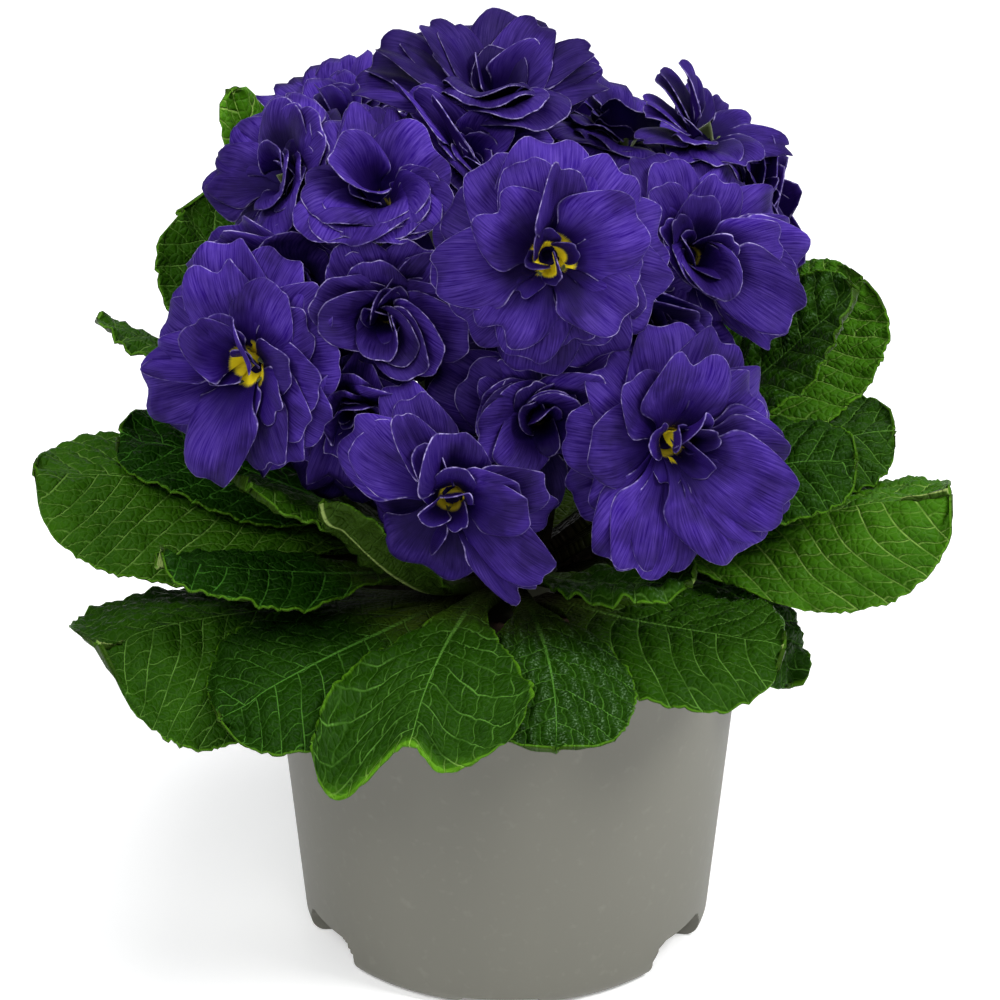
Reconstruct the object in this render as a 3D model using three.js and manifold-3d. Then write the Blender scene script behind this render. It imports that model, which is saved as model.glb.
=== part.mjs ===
// A double-flowered primrose in a tapered plastic nursery pot.
// Millimetres, +Z up. The origin is the centre of the pot's flat underside, on the surface that it stands on.
import * as THREE from "three";
import { mergeVertices } from "three/addons/utils/BufferGeometryUtils.js";
import Module from "manifold-3d";

const wasm = await Module();
wasm.setup();

// ---------------------------------------------------------------- driving dimensions
const CLEARANCE = 0.3; // air between two neighbouring pieces that rest against each other

const POT = {
  height: 82,
  rimRadius: 52.2,
  footRadius: 44.5, // where the straight wall would meet the ground
  wall: 1.4,
  floor: 1.6,
  cornerRadius: 4,
  lipHeight: 5,
  lipOut: 0.9,
  sides: 36,
};
const RECESS = { halfAngle: 12.5, steps: 2 };
// radius is how far from the axis the recessed wall stands
const TALL_RECESS = { angles: [-152, -32, 28, 148], radius: 37.4, height: 8 };
const LOW_RECESS = { angles: [-92, 88], radius: 39.8, height: 2.4 };
const DRAIN = { radius: 3, ring: 24, sides: 8, count: 6, firstAngle: -62, slotWidth: 6, slotFoot: 3, slotTop: 6 };
const SOIL = { level: 74, crumb: 1.1, rings: 3, sides: 20 };
const CROWN = { bottom: 58, top: 93, radius: 11, sides: 12 };
const STALK = { radius: 1.6, mouth: 3.2, sides: 5, steps: 4 };
const TUBE = { length: 6.5, radius: 2.1, eye: 4.2 };
const LEAF = { blade: 0.9, petiole: 2, rootRadius: 7 };
const LEAF_ROWS = [0, 0.2, 0.4, 0.56, 0.72, 0.87, 1];
const LEAF_COLUMNS = [-1, -0.5, 0, 0.5, 1];
const PETAL = { thickness: 0.8, air: 0.3 };

const COLOURS = {
  pot: 0x8b8980,
  soil: 0x2a1d14,
  crown: 0x5d6a2c,
  leaf: 0x2c5a17,
  petal: 0x3b2096,
};

// ---------------------------------------------------------------- small helpers
const radians = THREE.MathUtils.degToRad;
const lerp = THREE.MathUtils.lerp;
const smooth = THREE.MathUtils.smoothstep;
const UP = new THREE.Vector3(0, 0, 1);

function direction(azimuth, elevation) {
  const a = radians(azimuth);
  const e = radians(elevation);
  return new THREE.Vector3(Math.cos(a) * Math.cos(e), Math.sin(a) * Math.cos(e), Math.sin(e));
}

// A small repeatable random generator, seeded per piece.
function seeded(seed) {
  let state = (seed * 2654435761) >>> 0 || 1;
  return () => {
    state = (state * 1664525 + 1013904223) >>> 0;
    return state / 4294967296;
  };
}

function solidOf(geometry) {
  const bare = geometry.clone();
  for (const name of Object.keys(bare.attributes)) if (name !== "position") bare.deleteAttribute(name);
  const merged = mergeVertices(bare, 1e-4);
  return new wasm.Manifold(
    new wasm.Mesh({
      numProp: 3,
      vertProperties: new Float32Array(merged.attributes.position.array),
      triVerts: new Uint32Array(merged.index.array),
    }),
  );
}

function geometryOf(solid) {
  const mesh = solid.getMesh();
  const geometry = new THREE.BufferGeometry();
  geometry.setAttribute("position", new THREE.BufferAttribute(mesh.vertProperties, 3));
  geometry.setIndex(new THREE.BufferAttribute(mesh.triVerts, 1));
  geometry.computeVertexNormals();
  return geometry;
}

const largestBody = (solid) => solid.decompose().reduce((a, b) => (a.volume() > b.volume() ? a : b));

// A LatheGeometry stands along Y, so it is turned to stand along Z.
function turned(profile, sides) {
  const points = profile.map(([r, z]) => new THREE.Vector2(r, z));
  return new THREE.LatheGeometry(points, sides).rotateX(Math.PI / 2);
}

// A thin closed sheet: surface(x, v) gives the points of its middle for x across and v along, thickness(v) how
// thick it is. Both faces are split into triangles alike.
function blade(surface, columns, rows, thickness) {
  const grid = new THREE.PlaneGeometry(1, 1, columns.length - 1, rows.length - 1);
  const cells = Array.from(grid.index.array);
  const count = grid.attributes.position.count;
  const across = columns.length;
  const positions = new Float32Array(count * 6);
  const step = 0.03;
  for (let i = 0; i < count; i++) {
    const x = columns[i % across];
    const v = rows[rows.length - 1 - Math.floor(i / across)];
    const point = surface(x, v);
    const sideways = surface(Math.min(x + step, 1), v).sub(surface(Math.max(x - step, -1), v));
    const forward = surface(x, Math.min(v + step, 1)).sub(surface(x, Math.max(v - step, 0)));
    const normal = sideways.cross(forward).normalize().multiplyScalar(thickness(v) / 2);
    point.clone().add(normal).toArray(positions, i * 3);
    point.clone().sub(normal).toArray(positions, (count + i) * 3);
  }
  const faces = [...cells];
  for (let i = 0; i < cells.length; i += 3) {
    faces.push(count + cells[i], count + cells[i + 2], count + cells[i + 1]);
  }
  const rim = [];
  for (let i = 0; i < across - 1; i++) rim.push(i);
  for (let j = 0; j < rows.length - 1; j++) rim.push(j * across + across - 1);
  for (let i = across - 1; i > 0; i--) rim.push((rows.length - 1) * across + i);
  for (let j = rows.length - 1; j > 0; j--) rim.push(j * across);
  rim.forEach((a, k) => {
    const b = rim[(k + 1) % rim.length];
    faces.push(a, b, count + b, a, count + b, count + a);
  });
  const geometry = new THREE.BufferGeometry();
  geometry.setAttribute("position", new THREE.BufferAttribute(positions, 3));
  geometry.setIndex(faces);
  return geometry;
}

// ---------------------------------------------------------------- pot
const wallRadius = (z) => lerp(POT.footRadius, POT.rimRadius, z / POT.height);

function arc(centreR, centreZ, radius, from, to, steps) {
  return Array.from({ length: steps + 1 }, (_, i) => {
    const a = radians(lerp(from, to, i / steps));
    return [centreR + radius * Math.cos(a), centreZ + radius * Math.sin(a)];
  });
}

// Outline of the pot's outside, from the axis under the floor to the axis above the rim.
function potOutside() {
  const c = POT.cornerRadius;
  const cornerR = wallRadius(c) - c;
  const lipFoot = POT.height - POT.lipHeight;
  return [
    [0, 0],
    ...arc(cornerR, c, c, -90, 0, 3),
    [wallRadius(lipFoot), lipFoot],
    [wallRadius(lipFoot) + POT.lipOut, lipFoot + POT.lipOut],
    [wallRadius(POT.height) + POT.lipOut, POT.height - 0.6],
    [wallRadius(POT.height) + POT.lipOut - 0.6, POT.height],
    [0, POT.height],
  ];
}

// Outline of the pot's inside, or of anything that fills it with the given air round it.
function potInside(air, top) {
  const c = POT.cornerRadius - POT.wall;
  const bottom = POT.floor + air;
  const inner = (z) => wallRadius(z) - POT.wall - air;
  return [
    [0, bottom],
    [inner(bottom) - c, bottom],
    [inner(bottom + c), bottom + c],
    [inner(top), top],
    [0, top],
  ];
}

// One recess in the pot's lower corner, as a wedge grown by the given amount.
function recessCutter(kind, angle, grow) {
  const outer = POT.footRadius * 1.3;
  const inner = kind.radius - grow;
  const spread = radians(RECESS.halfAngle) + grow / kind.radius;
  const outline = new THREE.Shape();
  for (let i = 0; i <= RECESS.steps; i++) {
    const a = lerp(-spread, spread, i / RECESS.steps);
    const [x, y] = [inner * Math.cos(a), inner * Math.sin(a)];
    if (i === 0) outline.moveTo(x, y);
    else outline.lineTo(x, y);
  }
  outline.lineTo(outer * Math.cos(spread), outer * Math.sin(spread));
  outline.lineTo(outer * Math.cos(spread), -outer * Math.sin(spread));
  const wedge = new THREE.ExtrudeGeometry(outline, { depth: kind.height + grow + 5, bevelEnabled: false });
  return solidOf(wedge.translate(0, 0, -5).rotateZ(radians(angle)));
}

function recesses(grow) {
  const cutters = [TALL_RECESS, LOW_RECESS].flatMap((kind) =>
    kind.angles.map((angle) => recessCutter(kind, angle, grow)),
  );
  return wasm.Manifold.union(cutters);
}

// A ring of round holes through the floor, and a slot through the wall of each tall recess.
function drainHoles() {
  const holes = Array.from({ length: DRAIN.count }, (_, i) => {
    const a = radians(DRAIN.firstAngle + (360 / DRAIN.count) * i);
    const hole = new THREE.CylinderGeometry(DRAIN.radius, DRAIN.radius, 20, DRAIN.sides).rotateX(Math.PI / 2);
    return solidOf(hole.translate(DRAIN.ring * Math.cos(a), DRAIN.ring * Math.sin(a), 0));
  });
  const slots = TALL_RECESS.angles.map((angle) => {
    const slot = new THREE.BoxGeometry(10, DRAIN.slotWidth, DRAIN.slotTop - DRAIN.slotFoot);
    slot.translate(TALL_RECESS.radius, 0, (DRAIN.slotTop + DRAIN.slotFoot) / 2);
    return solidOf(slot.rotateZ(radians(angle)));
  });
  return wasm.Manifold.union([...holes, ...slots]);
}

function makePot() {
  const shell = solidOf(turned(potOutside(), POT.sides)).subtract(recesses(0));
  const hollow = solidOf(turned(potInside(0, POT.height + 1), POT.sides)).subtract(recesses(POT.wall));
  return shell.subtract(hollow).subtract(drainHoles());
}

// ---------------------------------------------------------------- soil and crown
const crownProfile = (grow) => [
  [0, CROWN.bottom - grow],
  [5 + grow, CROWN.bottom - grow],
  [CROWN.radius - 2.5 + grow, CROWN.bottom + 8],
  [CROWN.radius + grow, SOIL.level + 3],
  [CROWN.radius + grow, SOIL.level + 11],
  [CROWN.radius - 2 + grow, CROWN.top - 3],
  [CROWN.radius - 5 + grow, CROWN.top + grow],
  [0, CROWN.top + grow],
];
const crownSolid = (grow) => solidOf(turned(crownProfile(grow), CROWN.sides));

function makeSoil() {
  const random = seeded(5);
  const profile = potInside(CLEARANCE, SOIL.level);
  const rim = profile[3][0];
  profile.splice(4, 1);
  for (let i = SOIL.rings - 1; i >= 0; i--) profile.push([(rim * i) / SOIL.rings, SOIL.level]);
  const geometry = mergeVertices(stripped(turned(profile, SOIL.sides)), 1e-4);
  const position = geometry.attributes.position;
  for (let i = 0; i < position.count; i++) {
    const r = Math.hypot(position.getX(i), position.getY(i));
    if (position.getZ(i) > SOIL.level - 0.1 && r < rim - 1) {
      position.setZ(i, SOIL.level + SOIL.crumb * (random() * 2 - 1));
    }
  }
  return solidOf(geometry).subtract(recesses(POT.wall + CLEARANCE)).subtract(crownSolid(CLEARANCE));
}

function stripped(geometry) {
  geometry.deleteAttribute("normal");
  geometry.deleteAttribute("uv");
  return geometry;
}

// ---------------------------------------------------------------- leaves
// Each leaf grows from the crown at height root. Its midrib passes through mid halfway along and ends at tip.
// width is the blade's full width, roll turns the blade about its midrib, fold drops both halves from the midrib
// like a ridge roof (degrees), wave ripples the margins, broadest is where along it the blade is broadest, blunt
// how broad its end stays, and lobes lets the two outer corners hang and reach further out.
const LEAVES = [
  {
    name: "leaf_left_long", root: 82, mid: [-50, -6, 100], tip: [-100, -14, 110],
    width: 51, roll: -17, fold: 18,
  },
  {
    name: "leaf_left_low", root: 79, mid: [-48, -27, 88.5], tip: [-84, -47, 91],
    width: 55, roll: -12, fold: 32, blunt: 0.45, broadest: 0.7,
  },
  {
    name: "leaf_front_left", root: 81.5, mid: [-32, -42, 87.5], tip: [-59, -62, 78.5],
    width: 38, roll: -12, fold: 4,
  },
  {
    name: "leaf_front", root: 83.5, mid: [-12, -50, 93], tip: [-20, -77, 85],
    width: 44, roll: 0, fold: 4, lobes: [3, 9], blunt: 0.8,
  },
  {
    name: "leaf_front_right", root: 83.5, mid: [8, -47, 89], tip: [10, -74, 81],
    width: 34, roll: 0, fold: 6,
  },
  {
    name: "leaf_right_front", root: 80.5, mid: [28, -32, 88], tip: [58, -44, 88],
    width: 45, roll: 9, fold: 9,
  },
  {
    name: "leaf_right_hanging", root: 78, mid: [44, -11, 86], tip: [64, -21, 70],
    width: 28, roll: 0, fold: 0, wave: 2,
  },
  {
    name: "leaf_right_long", root: 82.5, mid: [48, -10, 98], tip: [93, -18, 112],
    width: 47, roll: 18, fold: 24, broadest: 0.76,
  },
  { name: "leaf_right_mid", root: 85, mid: [46, 8, 104], tip: [83, 10, 113], width: 38, roll: 12, fold: 5 },
  {
    name: "leaf_right_inner", root: 86.5, mid: [41, -10, 109], tip: [73, -14, 117],
    width: 31, roll: 26, fold: 4,
  },
  {
    name: "leaf_right_folded", root: 89.5, mid: [45, 2, 121], tip: [72, 1, 149],
    width: 28, roll: 18, fold: -12,
  },
  {
    name: "leaf_right_tall", root: 87.3, mid: [50, 22, 117], tip: [78, 32, 141],
    width: 40, roll: 18, fold: 4,
  },
  {
    name: "leaf_left_upper", root: 84.5, mid: [-46, -2, 105], tip: [-82, 0, 117],
    width: 34, roll: -10, fold: 5,
  },
  {
    name: "leaf_left_shaded", root: 85, mid: [-41, -31, 99], tip: [-71, -45, 106],
    width: 32, roll: -12, fold: 10,
  },
  {
    name: "leaf_left_edge_on", root: 87, mid: [-50, 6, 114], tip: [-86, 12, 138],
    width: 32, roll: 20, fold: 5,
  },
  {
    name: "leaf_left_upright", root: 89.5, mid: [-40, 20, 122], tip: [-68, 27, 155],
    width: 36, roll: -20, fold: 8,
  },
  {
    name: "leaf_left_back_tall", root: 88.5, mid: [-36, 42, 121], tip: [-62, 54, 173],
    width: 26, roll: 0, fold: 5,
  },
  {
    name: "leaf_left_curled", root: 88.5, mid: [-32, -17, 104.5], tip: [-52, -39, 123],
    width: 28, roll: 0, fold: 6,
  },
  {
    name: "leaf_left_young", root: 86, mid: [-19, -38, 101.5], tip: [-34, -49, 124],
    width: 20, roll: 12, fold: -15,
  },
  {
    name: "leaf_right_young", root: 87.5, mid: [17, -32, 97], tip: [37, -50, 107],
    width: 20, roll: 10, fold: -10,
  },
  {
    name: "leaf_inner_tall", root: 91, mid: [10.5, -6, 136], tip: [11, -18, 181],
    width: 12, roll: 0, fold: 5,
  },
  { name: "leaf_rear_right", root: 84, mid: [38, 32, 99], tip: [70, 58, 112], width: 44, roll: 0, fold: 10 },
  {
    name: "leaf_rear_right_low", root: 80, mid: [24, 46, 88], tip: [42, 80, 90],
    width: 42, roll: 0, fold: 12,
  },
  { name: "leaf_rear", root: 85, mid: [2, 46, 99], tip: [4, 88, 106], width: 44, roll: 0, fold: 12 },
  {
    name: "leaf_rear_left_low", root: 80, mid: [-20, 46, 88], tip: [-38, 82, 88],
    width: 42, roll: 0, fold: 12,
  },
  { name: "leaf_rear_left", root: 85, mid: [-36, 34, 98], tip: [-68, 64, 108], width: 44, roll: 0, fold: 10 },
  {
    name: "leaf_left_rear_low", root: 80, mid: [-48, 18, 88], tip: [-90, 34, 92],
    width: 44, roll: 0, fold: 12,
  },
];

function leafSurface(leaf) {
  const mid = new THREE.Vector3(...leaf.mid);
  const tip = new THREE.Vector3(...leaf.tip);
  const root = new THREE.Vector3(mid.x, mid.y, 0).setLength(LEAF.rootRadius).setZ(leaf.root);
  const control = mid.clone().multiplyScalar(2).sub(root.clone().add(tip).multiplyScalar(0.5));
  const midrib = new THREE.QuadraticBezierCurve3(root, control, tip);
  const span = tip.clone().sub(root);
  const level = new THREE.Vector3(span.y, -span.x, 0).normalize();
  const { blunt = 0.42, broadest = 0.63 } = leaf;
  const outline = (v) => {
    if (v < broadest) return lerp(0.11, 1, smooth(v, 0.15, broadest));
    return blunt + (1 - blunt) * Math.sqrt(1 - ((v - broadest) / (1 - broadest)) ** 2);
  };
  return (x, v) => {
    const along = midrib.getTangent(v);
    const spread = smooth(v, 0.2, 0.75);
    const side = level.clone().addScaledVector(along, -along.dot(level)).normalize();
    side.applyAxisAngle(along, radians(leaf.roll + Math.sign(x) * leaf.fold) * spread);
    const half = (leaf.width / 2) * outline(v) * Math.abs(x);
    const up = side.clone().cross(along).normalize();
    const ripple = (leaf.wave ?? 0.8) * spread * x * x * Math.sin(9 * v + 2.1 * x + leaf.width);
    const hang = (leaf.lobes ?? [0, 0])[x < 0 ? 0 : 1] * Math.abs(x) ** 1.5 * smooth(v, 0.6, 1);
    return midrib
      .getPoint(v)
      .addScaledVector(side, half * Math.sign(x))
      .addScaledVector(up, ripple)
      .addScaledVector(along, hang * 0.7)
      .addScaledVector(UP, -hang);
  };
}

function makeLeaf(leaf) {
  const thickness = (v) => lerp(LEAF.petiole, LEAF.blade, smooth(v, 0.1, 0.45));
  const sheet = solidOf(blade(leafSurface(leaf), LEAF_COLUMNS, LEAF_ROWS, thickness));
  return largestBody(sheet.subtract(crownSolid(CLEARANCE)));
}

// ---------------------------------------------------------------- blooms
// Each bloom: where its eye is, the way it faces (azimuth and elevation in degrees), its radius, and how far its
// petals close, from 0 for flat to 1 for a cup. A plain one has petals without a notch.
const BLOOMS = [
  { name: "bloom_centre", eye: [8, -43, 174], facing: [-90, 14], radius: 24, cup: 0.1 },
  { name: "bloom_left", eye: [-51, -32, 146], facing: [-125, 5], radius: 26, cup: 0.1 },
  { name: "bloom_right_low", eye: [32, -43, 134], facing: [-68, 5], radius: 25, cup: 0.15 },
  { name: "bloom_front_low", eye: [-11, -52, 129], facing: [-98, 0], radius: 23, cup: 0.3 },
  { name: "bloom_middle", eye: [7, -33, 141], facing: [-85, -4], radius: 23, cup: 0.3 },
  { name: "bloom_right", eye: [40, -10, 163], facing: [-65, 18], radius: 25, cup: 0.15 },
  { name: "bloom_upper_left", eye: [-22, -15, 174], facing: [-98, 45], radius: 23, cup: 0.4 },
  { name: "bloom_top", eye: [-2, 12, 186], facing: [-80, 76], radius: 25, cup: 0.3 },
  { name: "bloom_shaded", eye: [-24, -27, 156], facing: [-98, 0], radius: 21, cup: 0.3, plain: true },
  { name: "bloom_left_high", eye: [-45, 2, 169], facing: [-165, 30], radius: 23, cup: 0.3, plain: true },
  { name: "bloom_back_left", eye: [-35, 32, 174], facing: [140, 50], radius: 21, cup: 0.2, plain: true },
  { name: "bloom_back_right", eye: [24, 32, 172], facing: [50, 50], radius: 21, cup: 0.2, plain: true },
  { name: "bloom_opening", eye: [40, 14, 174], facing: [15, 60], radius: 21, cup: 0.4, plain: true, star: 0.6 },
  { name: "bloom_right_edge", eye: [50, 18, 160], facing: [0, 8], radius: 18, cup: 0.2, plain: true },
  { name: "bloom_inner", eye: [-8, -3, 178], facing: [-90, 60], radius: 15, cup: 0.35, plain: true },
  { name: "bloom_left_deep", eye: [-39, -11, 156], facing: [-130, 0], radius: 16, cup: 0.2, plain: true },
  { name: "bloom_left_inner", eye: [-31, -28, 137], facing: [-115, -8], radius: 17, cup: 0.3, plain: true },
  { name: "bloom_right_deep", eye: [26, -13, 150], facing: [-72, 5], radius: 16, cup: 0.2, plain: true },
  { name: "bloom_rear", eye: [16, 54, 152], facing: [78, 16], radius: 24, cup: 0.1, plain: true },
  { name: "bloom_rear_left", eye: [-20, 56, 147], facing: [110, 10], radius: 21, cup: 0.2, plain: true },
  { name: "bloom_rear_right", eye: [44, 44, 150], facing: [42, 12], radius: 21, cup: 0.2, plain: true },
];
const LOBES = 5;
// The whorls of the double corolla, from the outermost: how long its petals are against the bloom's radius, the
// angle that they stand up at, how much they bend back towards their ends, and where round the bloom they start.
const WHORLS = [
  { reach: 1, tilt: 4, curl: 24, start: 0 },
  { reach: 0.84, tilt: 32, curl: 28, start: 0.5 },
  { reach: 0.5, tilt: 66, curl: 20, start: 0.2 },
];
// Round one petal: the place within its share of the circle, and how far the margin reaches there.
const NOTCHED = [[0, 0.68], [0.2, 0.98], [0.5, 0.92], [0.8, 0.98]];
const ROUNDED = [[0, 0.7], [0.27, 0.98], [0.73, 0.98]];

// The turn that makes something standing on the origin along +Z look along a direction instead.
const turnTo = (facing) => new THREE.Quaternion().setFromUnitVectors(UP, facing);
const placeAlong = (geometry, point, facing) =>
  geometry.applyQuaternion(turnTo(facing)).translate(point.x, point.y, point.z);

// One ring of points round the bloom's axis for a petal whorl, at the share v of its length, on the given face.
function whorlRing(whorl, bloom, v, face, petals) {
  const length = bloom.radius * whorl.reach;
  const margin = bloom.plain ? ROUNDED : NOTCHED;
  return petals.flatMap((petal, k) =>
    margin.map(([place, reach], m) => {
      const valley = m === 0 ? (bloom.star ?? 1) : 1;
      const far = length * petal.size * v * lerp(1, reach * valley, Math.min(1, v * 1.5));
      const shingle = m === 0 ? 0 : (0.5 - place) * 0.14 * length * v;
      const lean = radians(whorl.tilt + bloom.cup * 45 + petal.lean - whorl.curl * v * 0.6);
      const angle = ((k + place + whorl.start) / LOBES) * 2 * Math.PI;
      const out = TUBE.eye * 0.5 + far * Math.cos(lean) - (face * PETAL.thickness * Math.sin(lean)) / 2;
      const rise = far * Math.sin(lean) + shingle + (face * PETAL.thickness * Math.cos(lean)) / 2;
      return new THREE.Vector3(out * Math.cos(angle), out * Math.sin(angle), 1 + rise);
    }),
  );
}

// Crowded blooms press against each other: the petals that would pass the plane between two neighbours are
// squeezed back towards the eye, and a little forwards. The tube behind them keeps its place on its stalk.
function pressTogether(points, bloom) {
  const eye = new THREE.Vector3(...bloom.eye);
  const facing = direction(...bloom.facing);
  const depth = (point, away) => point.clone().sub(eye).dot(away);
  for (let pass = 0; pass < 4; pass++) {
    for (const other of BLOOMS) {
      if (other === bloom) continue;
      const away = new THREE.Vector3(...other.eye).sub(eye);
      const share = bloom.radius / (bloom.radius + other.radius);
      const reach = away.length() * share - PETAL.air / 2;
      away.normalize();
      const deepest = Math.max(...points.map((point) => depth(point, away)));
      if (deepest <= reach) continue;
      for (const point of points) {
        const excess = depth(point, away) * (1 - reach / deepest);
        if (excess <= 0) continue;
        point.addScaledVector(away, -excess);
        if (pass === 0) point.addScaledVector(facing, excess * 0.2);
      }
    }
  }
}

// The corolla is one turned skin from the end of its tube to the middle of the bloom, which runs out along the
// underside of every whorl's petals and back along their top.
function makeBloom(bloom, index) {
  const random = seeded(index + 11);
  const sides = LOBES * (bloom.plain ? ROUNDED : NOTCHED).length;
  const spin = random() * 2 * Math.PI;
  const circle = (radius, height) =>
    Array.from({ length: sides }, (_, i) => {
      const a = (2 * Math.PI * i) / sides;
      return new THREE.Vector3(radius * Math.cos(a), radius * Math.sin(a), height);
    });
  const rings = [circle(0, -TUBE.length), circle(TUBE.radius, -TUBE.length), circle(TUBE.eye * 0.8, -0.5)];
  WHORLS.forEach((whorl, level) => {
    const petals = Array.from({ length: LOBES }, () => ({
      size: lerp(0.93, 1.03, random()),
      lean: lerp(-6, 6, random()),
    }));
    const middle = level === 0;
    if (middle) rings.push(whorlRing(whorl, bloom, 0.55, -1, petals));
    rings.push(whorlRing(whorl, bloom, 1, -1, petals), whorlRing(whorl, bloom, 1, 1, petals));
    if (middle) rings.push(whorlRing(whorl, bloom, 0.55, 1, petals));
    rings.push(circle(TUBE.eye * lerp(0.9, 0.3, level / 2), 1.6 + level * 1.2));
  });
  rings.push(circle(0, 4));
  const skin = new THREE.LatheGeometry(rings.map((ring) => new THREE.Vector2(ring[0].x, ring[0].z)), sides);
  const turn = turnTo(direction(...bloom.facing));
  const eye = new THREE.Vector3(...bloom.eye);
  const points = rings.map((ring) => ring.map((p) => p.applyAxisAngle(UP, spin).applyQuaternion(turn).add(eye)));
  pressTogether(points.slice(3).flat(), bloom);
  const position = skin.attributes.position;
  for (let i = 0; i < position.count; i++) {
    const ring = points[i % rings.length];
    ring[Math.floor(i / rings.length) % sides].toArray(position.array, i * 3);
  }
  return solidOf(stripped(skin));
}

// ---------------------------------------------------------------- flower stalks
// Each stalk rises from the crown and widens at its end into the calyx, which holds the end of a bloom's tube.
function stalkSolid(bloom) {
  const facing = direction(...bloom.facing);
  const mouth = new THREE.Vector3(...bloom.eye).addScaledVector(facing, -TUBE.length - CLEARANCE);
  const outward = new THREE.Vector3(mouth.x, mouth.y, 0);
  const foot = outward.clone().setLength(Math.min(5.5, outward.length() * 0.15)).setZ(CROWN.top - 4);
  const length = mouth.distanceTo(foot);
  const curve = new THREE.CubicBezierCurve3(
    foot,
    foot.clone().addScaledVector(outward.normalize(), length * 0.1).addScaledVector(UP, length * 0.4),
    mouth.clone().addScaledVector(facing, -length * 0.33),
    mouth,
  );
  const section = new THREE.Shape();
  for (let i = 0; i < STALK.sides; i++) {
    const a = (2 * Math.PI * i) / STALK.sides;
    const corner = [STALK.radius * Math.cos(a), STALK.radius * Math.sin(a)];
    if (i === 0) section.moveTo(...corner);
    else section.lineTo(...corner);
  }
  const stem = new THREE.ExtrudeGeometry(section, { steps: STALK.steps, extrudePath: curve });
  const position = stem.attributes.position;
  const point = new THREE.Vector3();
  for (let i = 0; i < position.count; i++) {
    point.fromBufferAttribute(position, i);
    if (point.distanceTo(mouth) > STALK.radius * 1.01) continue;
    point.sub(mouth).multiplyScalar(STALK.mouth / STALK.radius).add(mouth);
    position.setXYZ(i, point.x, point.y, point.z);
  }
  return solidOf(stem);
}

const makeCrown = () => wasm.Manifold.union([crownSolid(0), ...BLOOMS.map(stalkSolid)]);

// ---------------------------------------------------------------- assembly
const FINISHES = {
  pot: new THREE.MeshStandardMaterial({ color: COLOURS.pot, roughness: 0.5, metalness: 0 }),
  soil: new THREE.MeshStandardMaterial({ color: COLOURS.soil, roughness: 1, metalness: 0 }),
  crown: new THREE.MeshStandardMaterial({ color: COLOURS.crown, roughness: 0.6, metalness: 0 }),
  leaf: new THREE.MeshStandardMaterial({ color: COLOURS.leaf, roughness: 0.5, metalness: 0 }),
  petal: new THREE.MeshStandardMaterial({ color: COLOURS.petal, roughness: 0.7, metalness: 0 }),
};

const primrose = new THREE.Group();

function addPiece(name, solid, finish) {
  const mesh = new THREE.Mesh(geometryOf(solid), finish);
  mesh.name = name;
  primrose.add(mesh);
}

addPiece("pot", makePot(), FINISHES.pot);
addPiece("soil", makeSoil(), FINISHES.soil);
addPiece("crown_and_stalks", makeCrown(), FINISHES.crown);
LEAVES.forEach((leaf) => addPiece(leaf.name, makeLeaf(leaf), FINISHES.leaf));
BLOOMS.forEach((bloom, index) => addPiece(bloom.name, makeBloom(bloom, index), FINISHES.petal));

export default primrose;
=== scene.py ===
import math
from random import Random

import bmesh
import bpy
import numpy as np
from mathutils import Matrix, Vector, noise


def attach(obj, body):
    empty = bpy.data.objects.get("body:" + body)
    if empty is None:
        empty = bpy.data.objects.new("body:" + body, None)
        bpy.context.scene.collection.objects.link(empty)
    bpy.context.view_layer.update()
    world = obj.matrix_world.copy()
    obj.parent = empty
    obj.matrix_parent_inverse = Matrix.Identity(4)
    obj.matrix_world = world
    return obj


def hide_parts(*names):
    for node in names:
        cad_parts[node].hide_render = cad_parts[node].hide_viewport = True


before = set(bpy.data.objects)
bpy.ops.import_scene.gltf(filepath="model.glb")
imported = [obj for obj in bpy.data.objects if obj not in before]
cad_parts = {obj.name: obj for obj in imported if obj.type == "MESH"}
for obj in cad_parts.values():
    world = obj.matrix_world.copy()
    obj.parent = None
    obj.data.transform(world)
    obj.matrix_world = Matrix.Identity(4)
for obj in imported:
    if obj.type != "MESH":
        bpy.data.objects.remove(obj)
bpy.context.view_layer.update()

mm = 0.001  # sizes below are in millimetres, and meshes are in metres
worldUp = Vector((0, 0, 1))


def lerp(a, b, t):
    return a + (b - a) * t


def smooth(x, low, high):
    t = min(1, max(0, (x - low) / (high - low)))
    return t * t * (3 - 2 * t)


def hexColour(code):  # sRGB hex to linear red, green, blue, alpha
    values = [int(code[i:i + 2], 16) / 255 for i in (1, 3, 5)]
    return [c / 12.92 if c <= 0.04045 else ((c + 0.055) / 1.055) ** 2.4 for c in values] + [1]


def addNode(tree, kind, inputs=None, **settings):
    node = tree.nodes.new("ShaderNode" + kind)
    for name, value in settings.items():
        setattr(node, name, value)
    setInputs(tree, node, inputs or {})
    return node


# Inputs are named in a dictionary or listed in the node's own order, as value, from low, from high, to low and
# to high for MapRange. A node is linked by its first live output, a socket as it is, and any other value is set.
def setInputs(tree, node, inputs):
    for name, value in inputs.items() if isinstance(inputs, dict) else enumerate(inputs):
        if isinstance(value, str):  # a colour
            value = hexColour(value)
        if isinstance(value, bpy.types.Node):
            value = next(socket for socket in value.outputs if socket.enabled)
        if isinstance(value, bpy.types.NodeSocket):
            tree.links.new(value, node.inputs[name])
        else:
            node.inputs[name].default_value = value


def newMaterial(name):
    material = bpy.data.materials.new(name)
    material.use_nodes = True
    return material, material.node_tree, material.node_tree.nodes["Principled BSDF"]


def direction(azimuth, elevation):
    a, e = math.radians(azimuth), math.radians(elevation)
    return Vector((math.cos(a) * math.cos(e), math.sin(a) * math.cos(e), math.sin(e)))


def addMesh(name, bm):
    mesh = bpy.data.meshes.new(name)
    bm.to_mesh(mesh)
    bm.free()
    return mesh


def addObject(name, data):
    thing = bpy.data.objects.new(name, data)
    bpy.context.scene.collection.objects.link(thing)
    return thing


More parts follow.
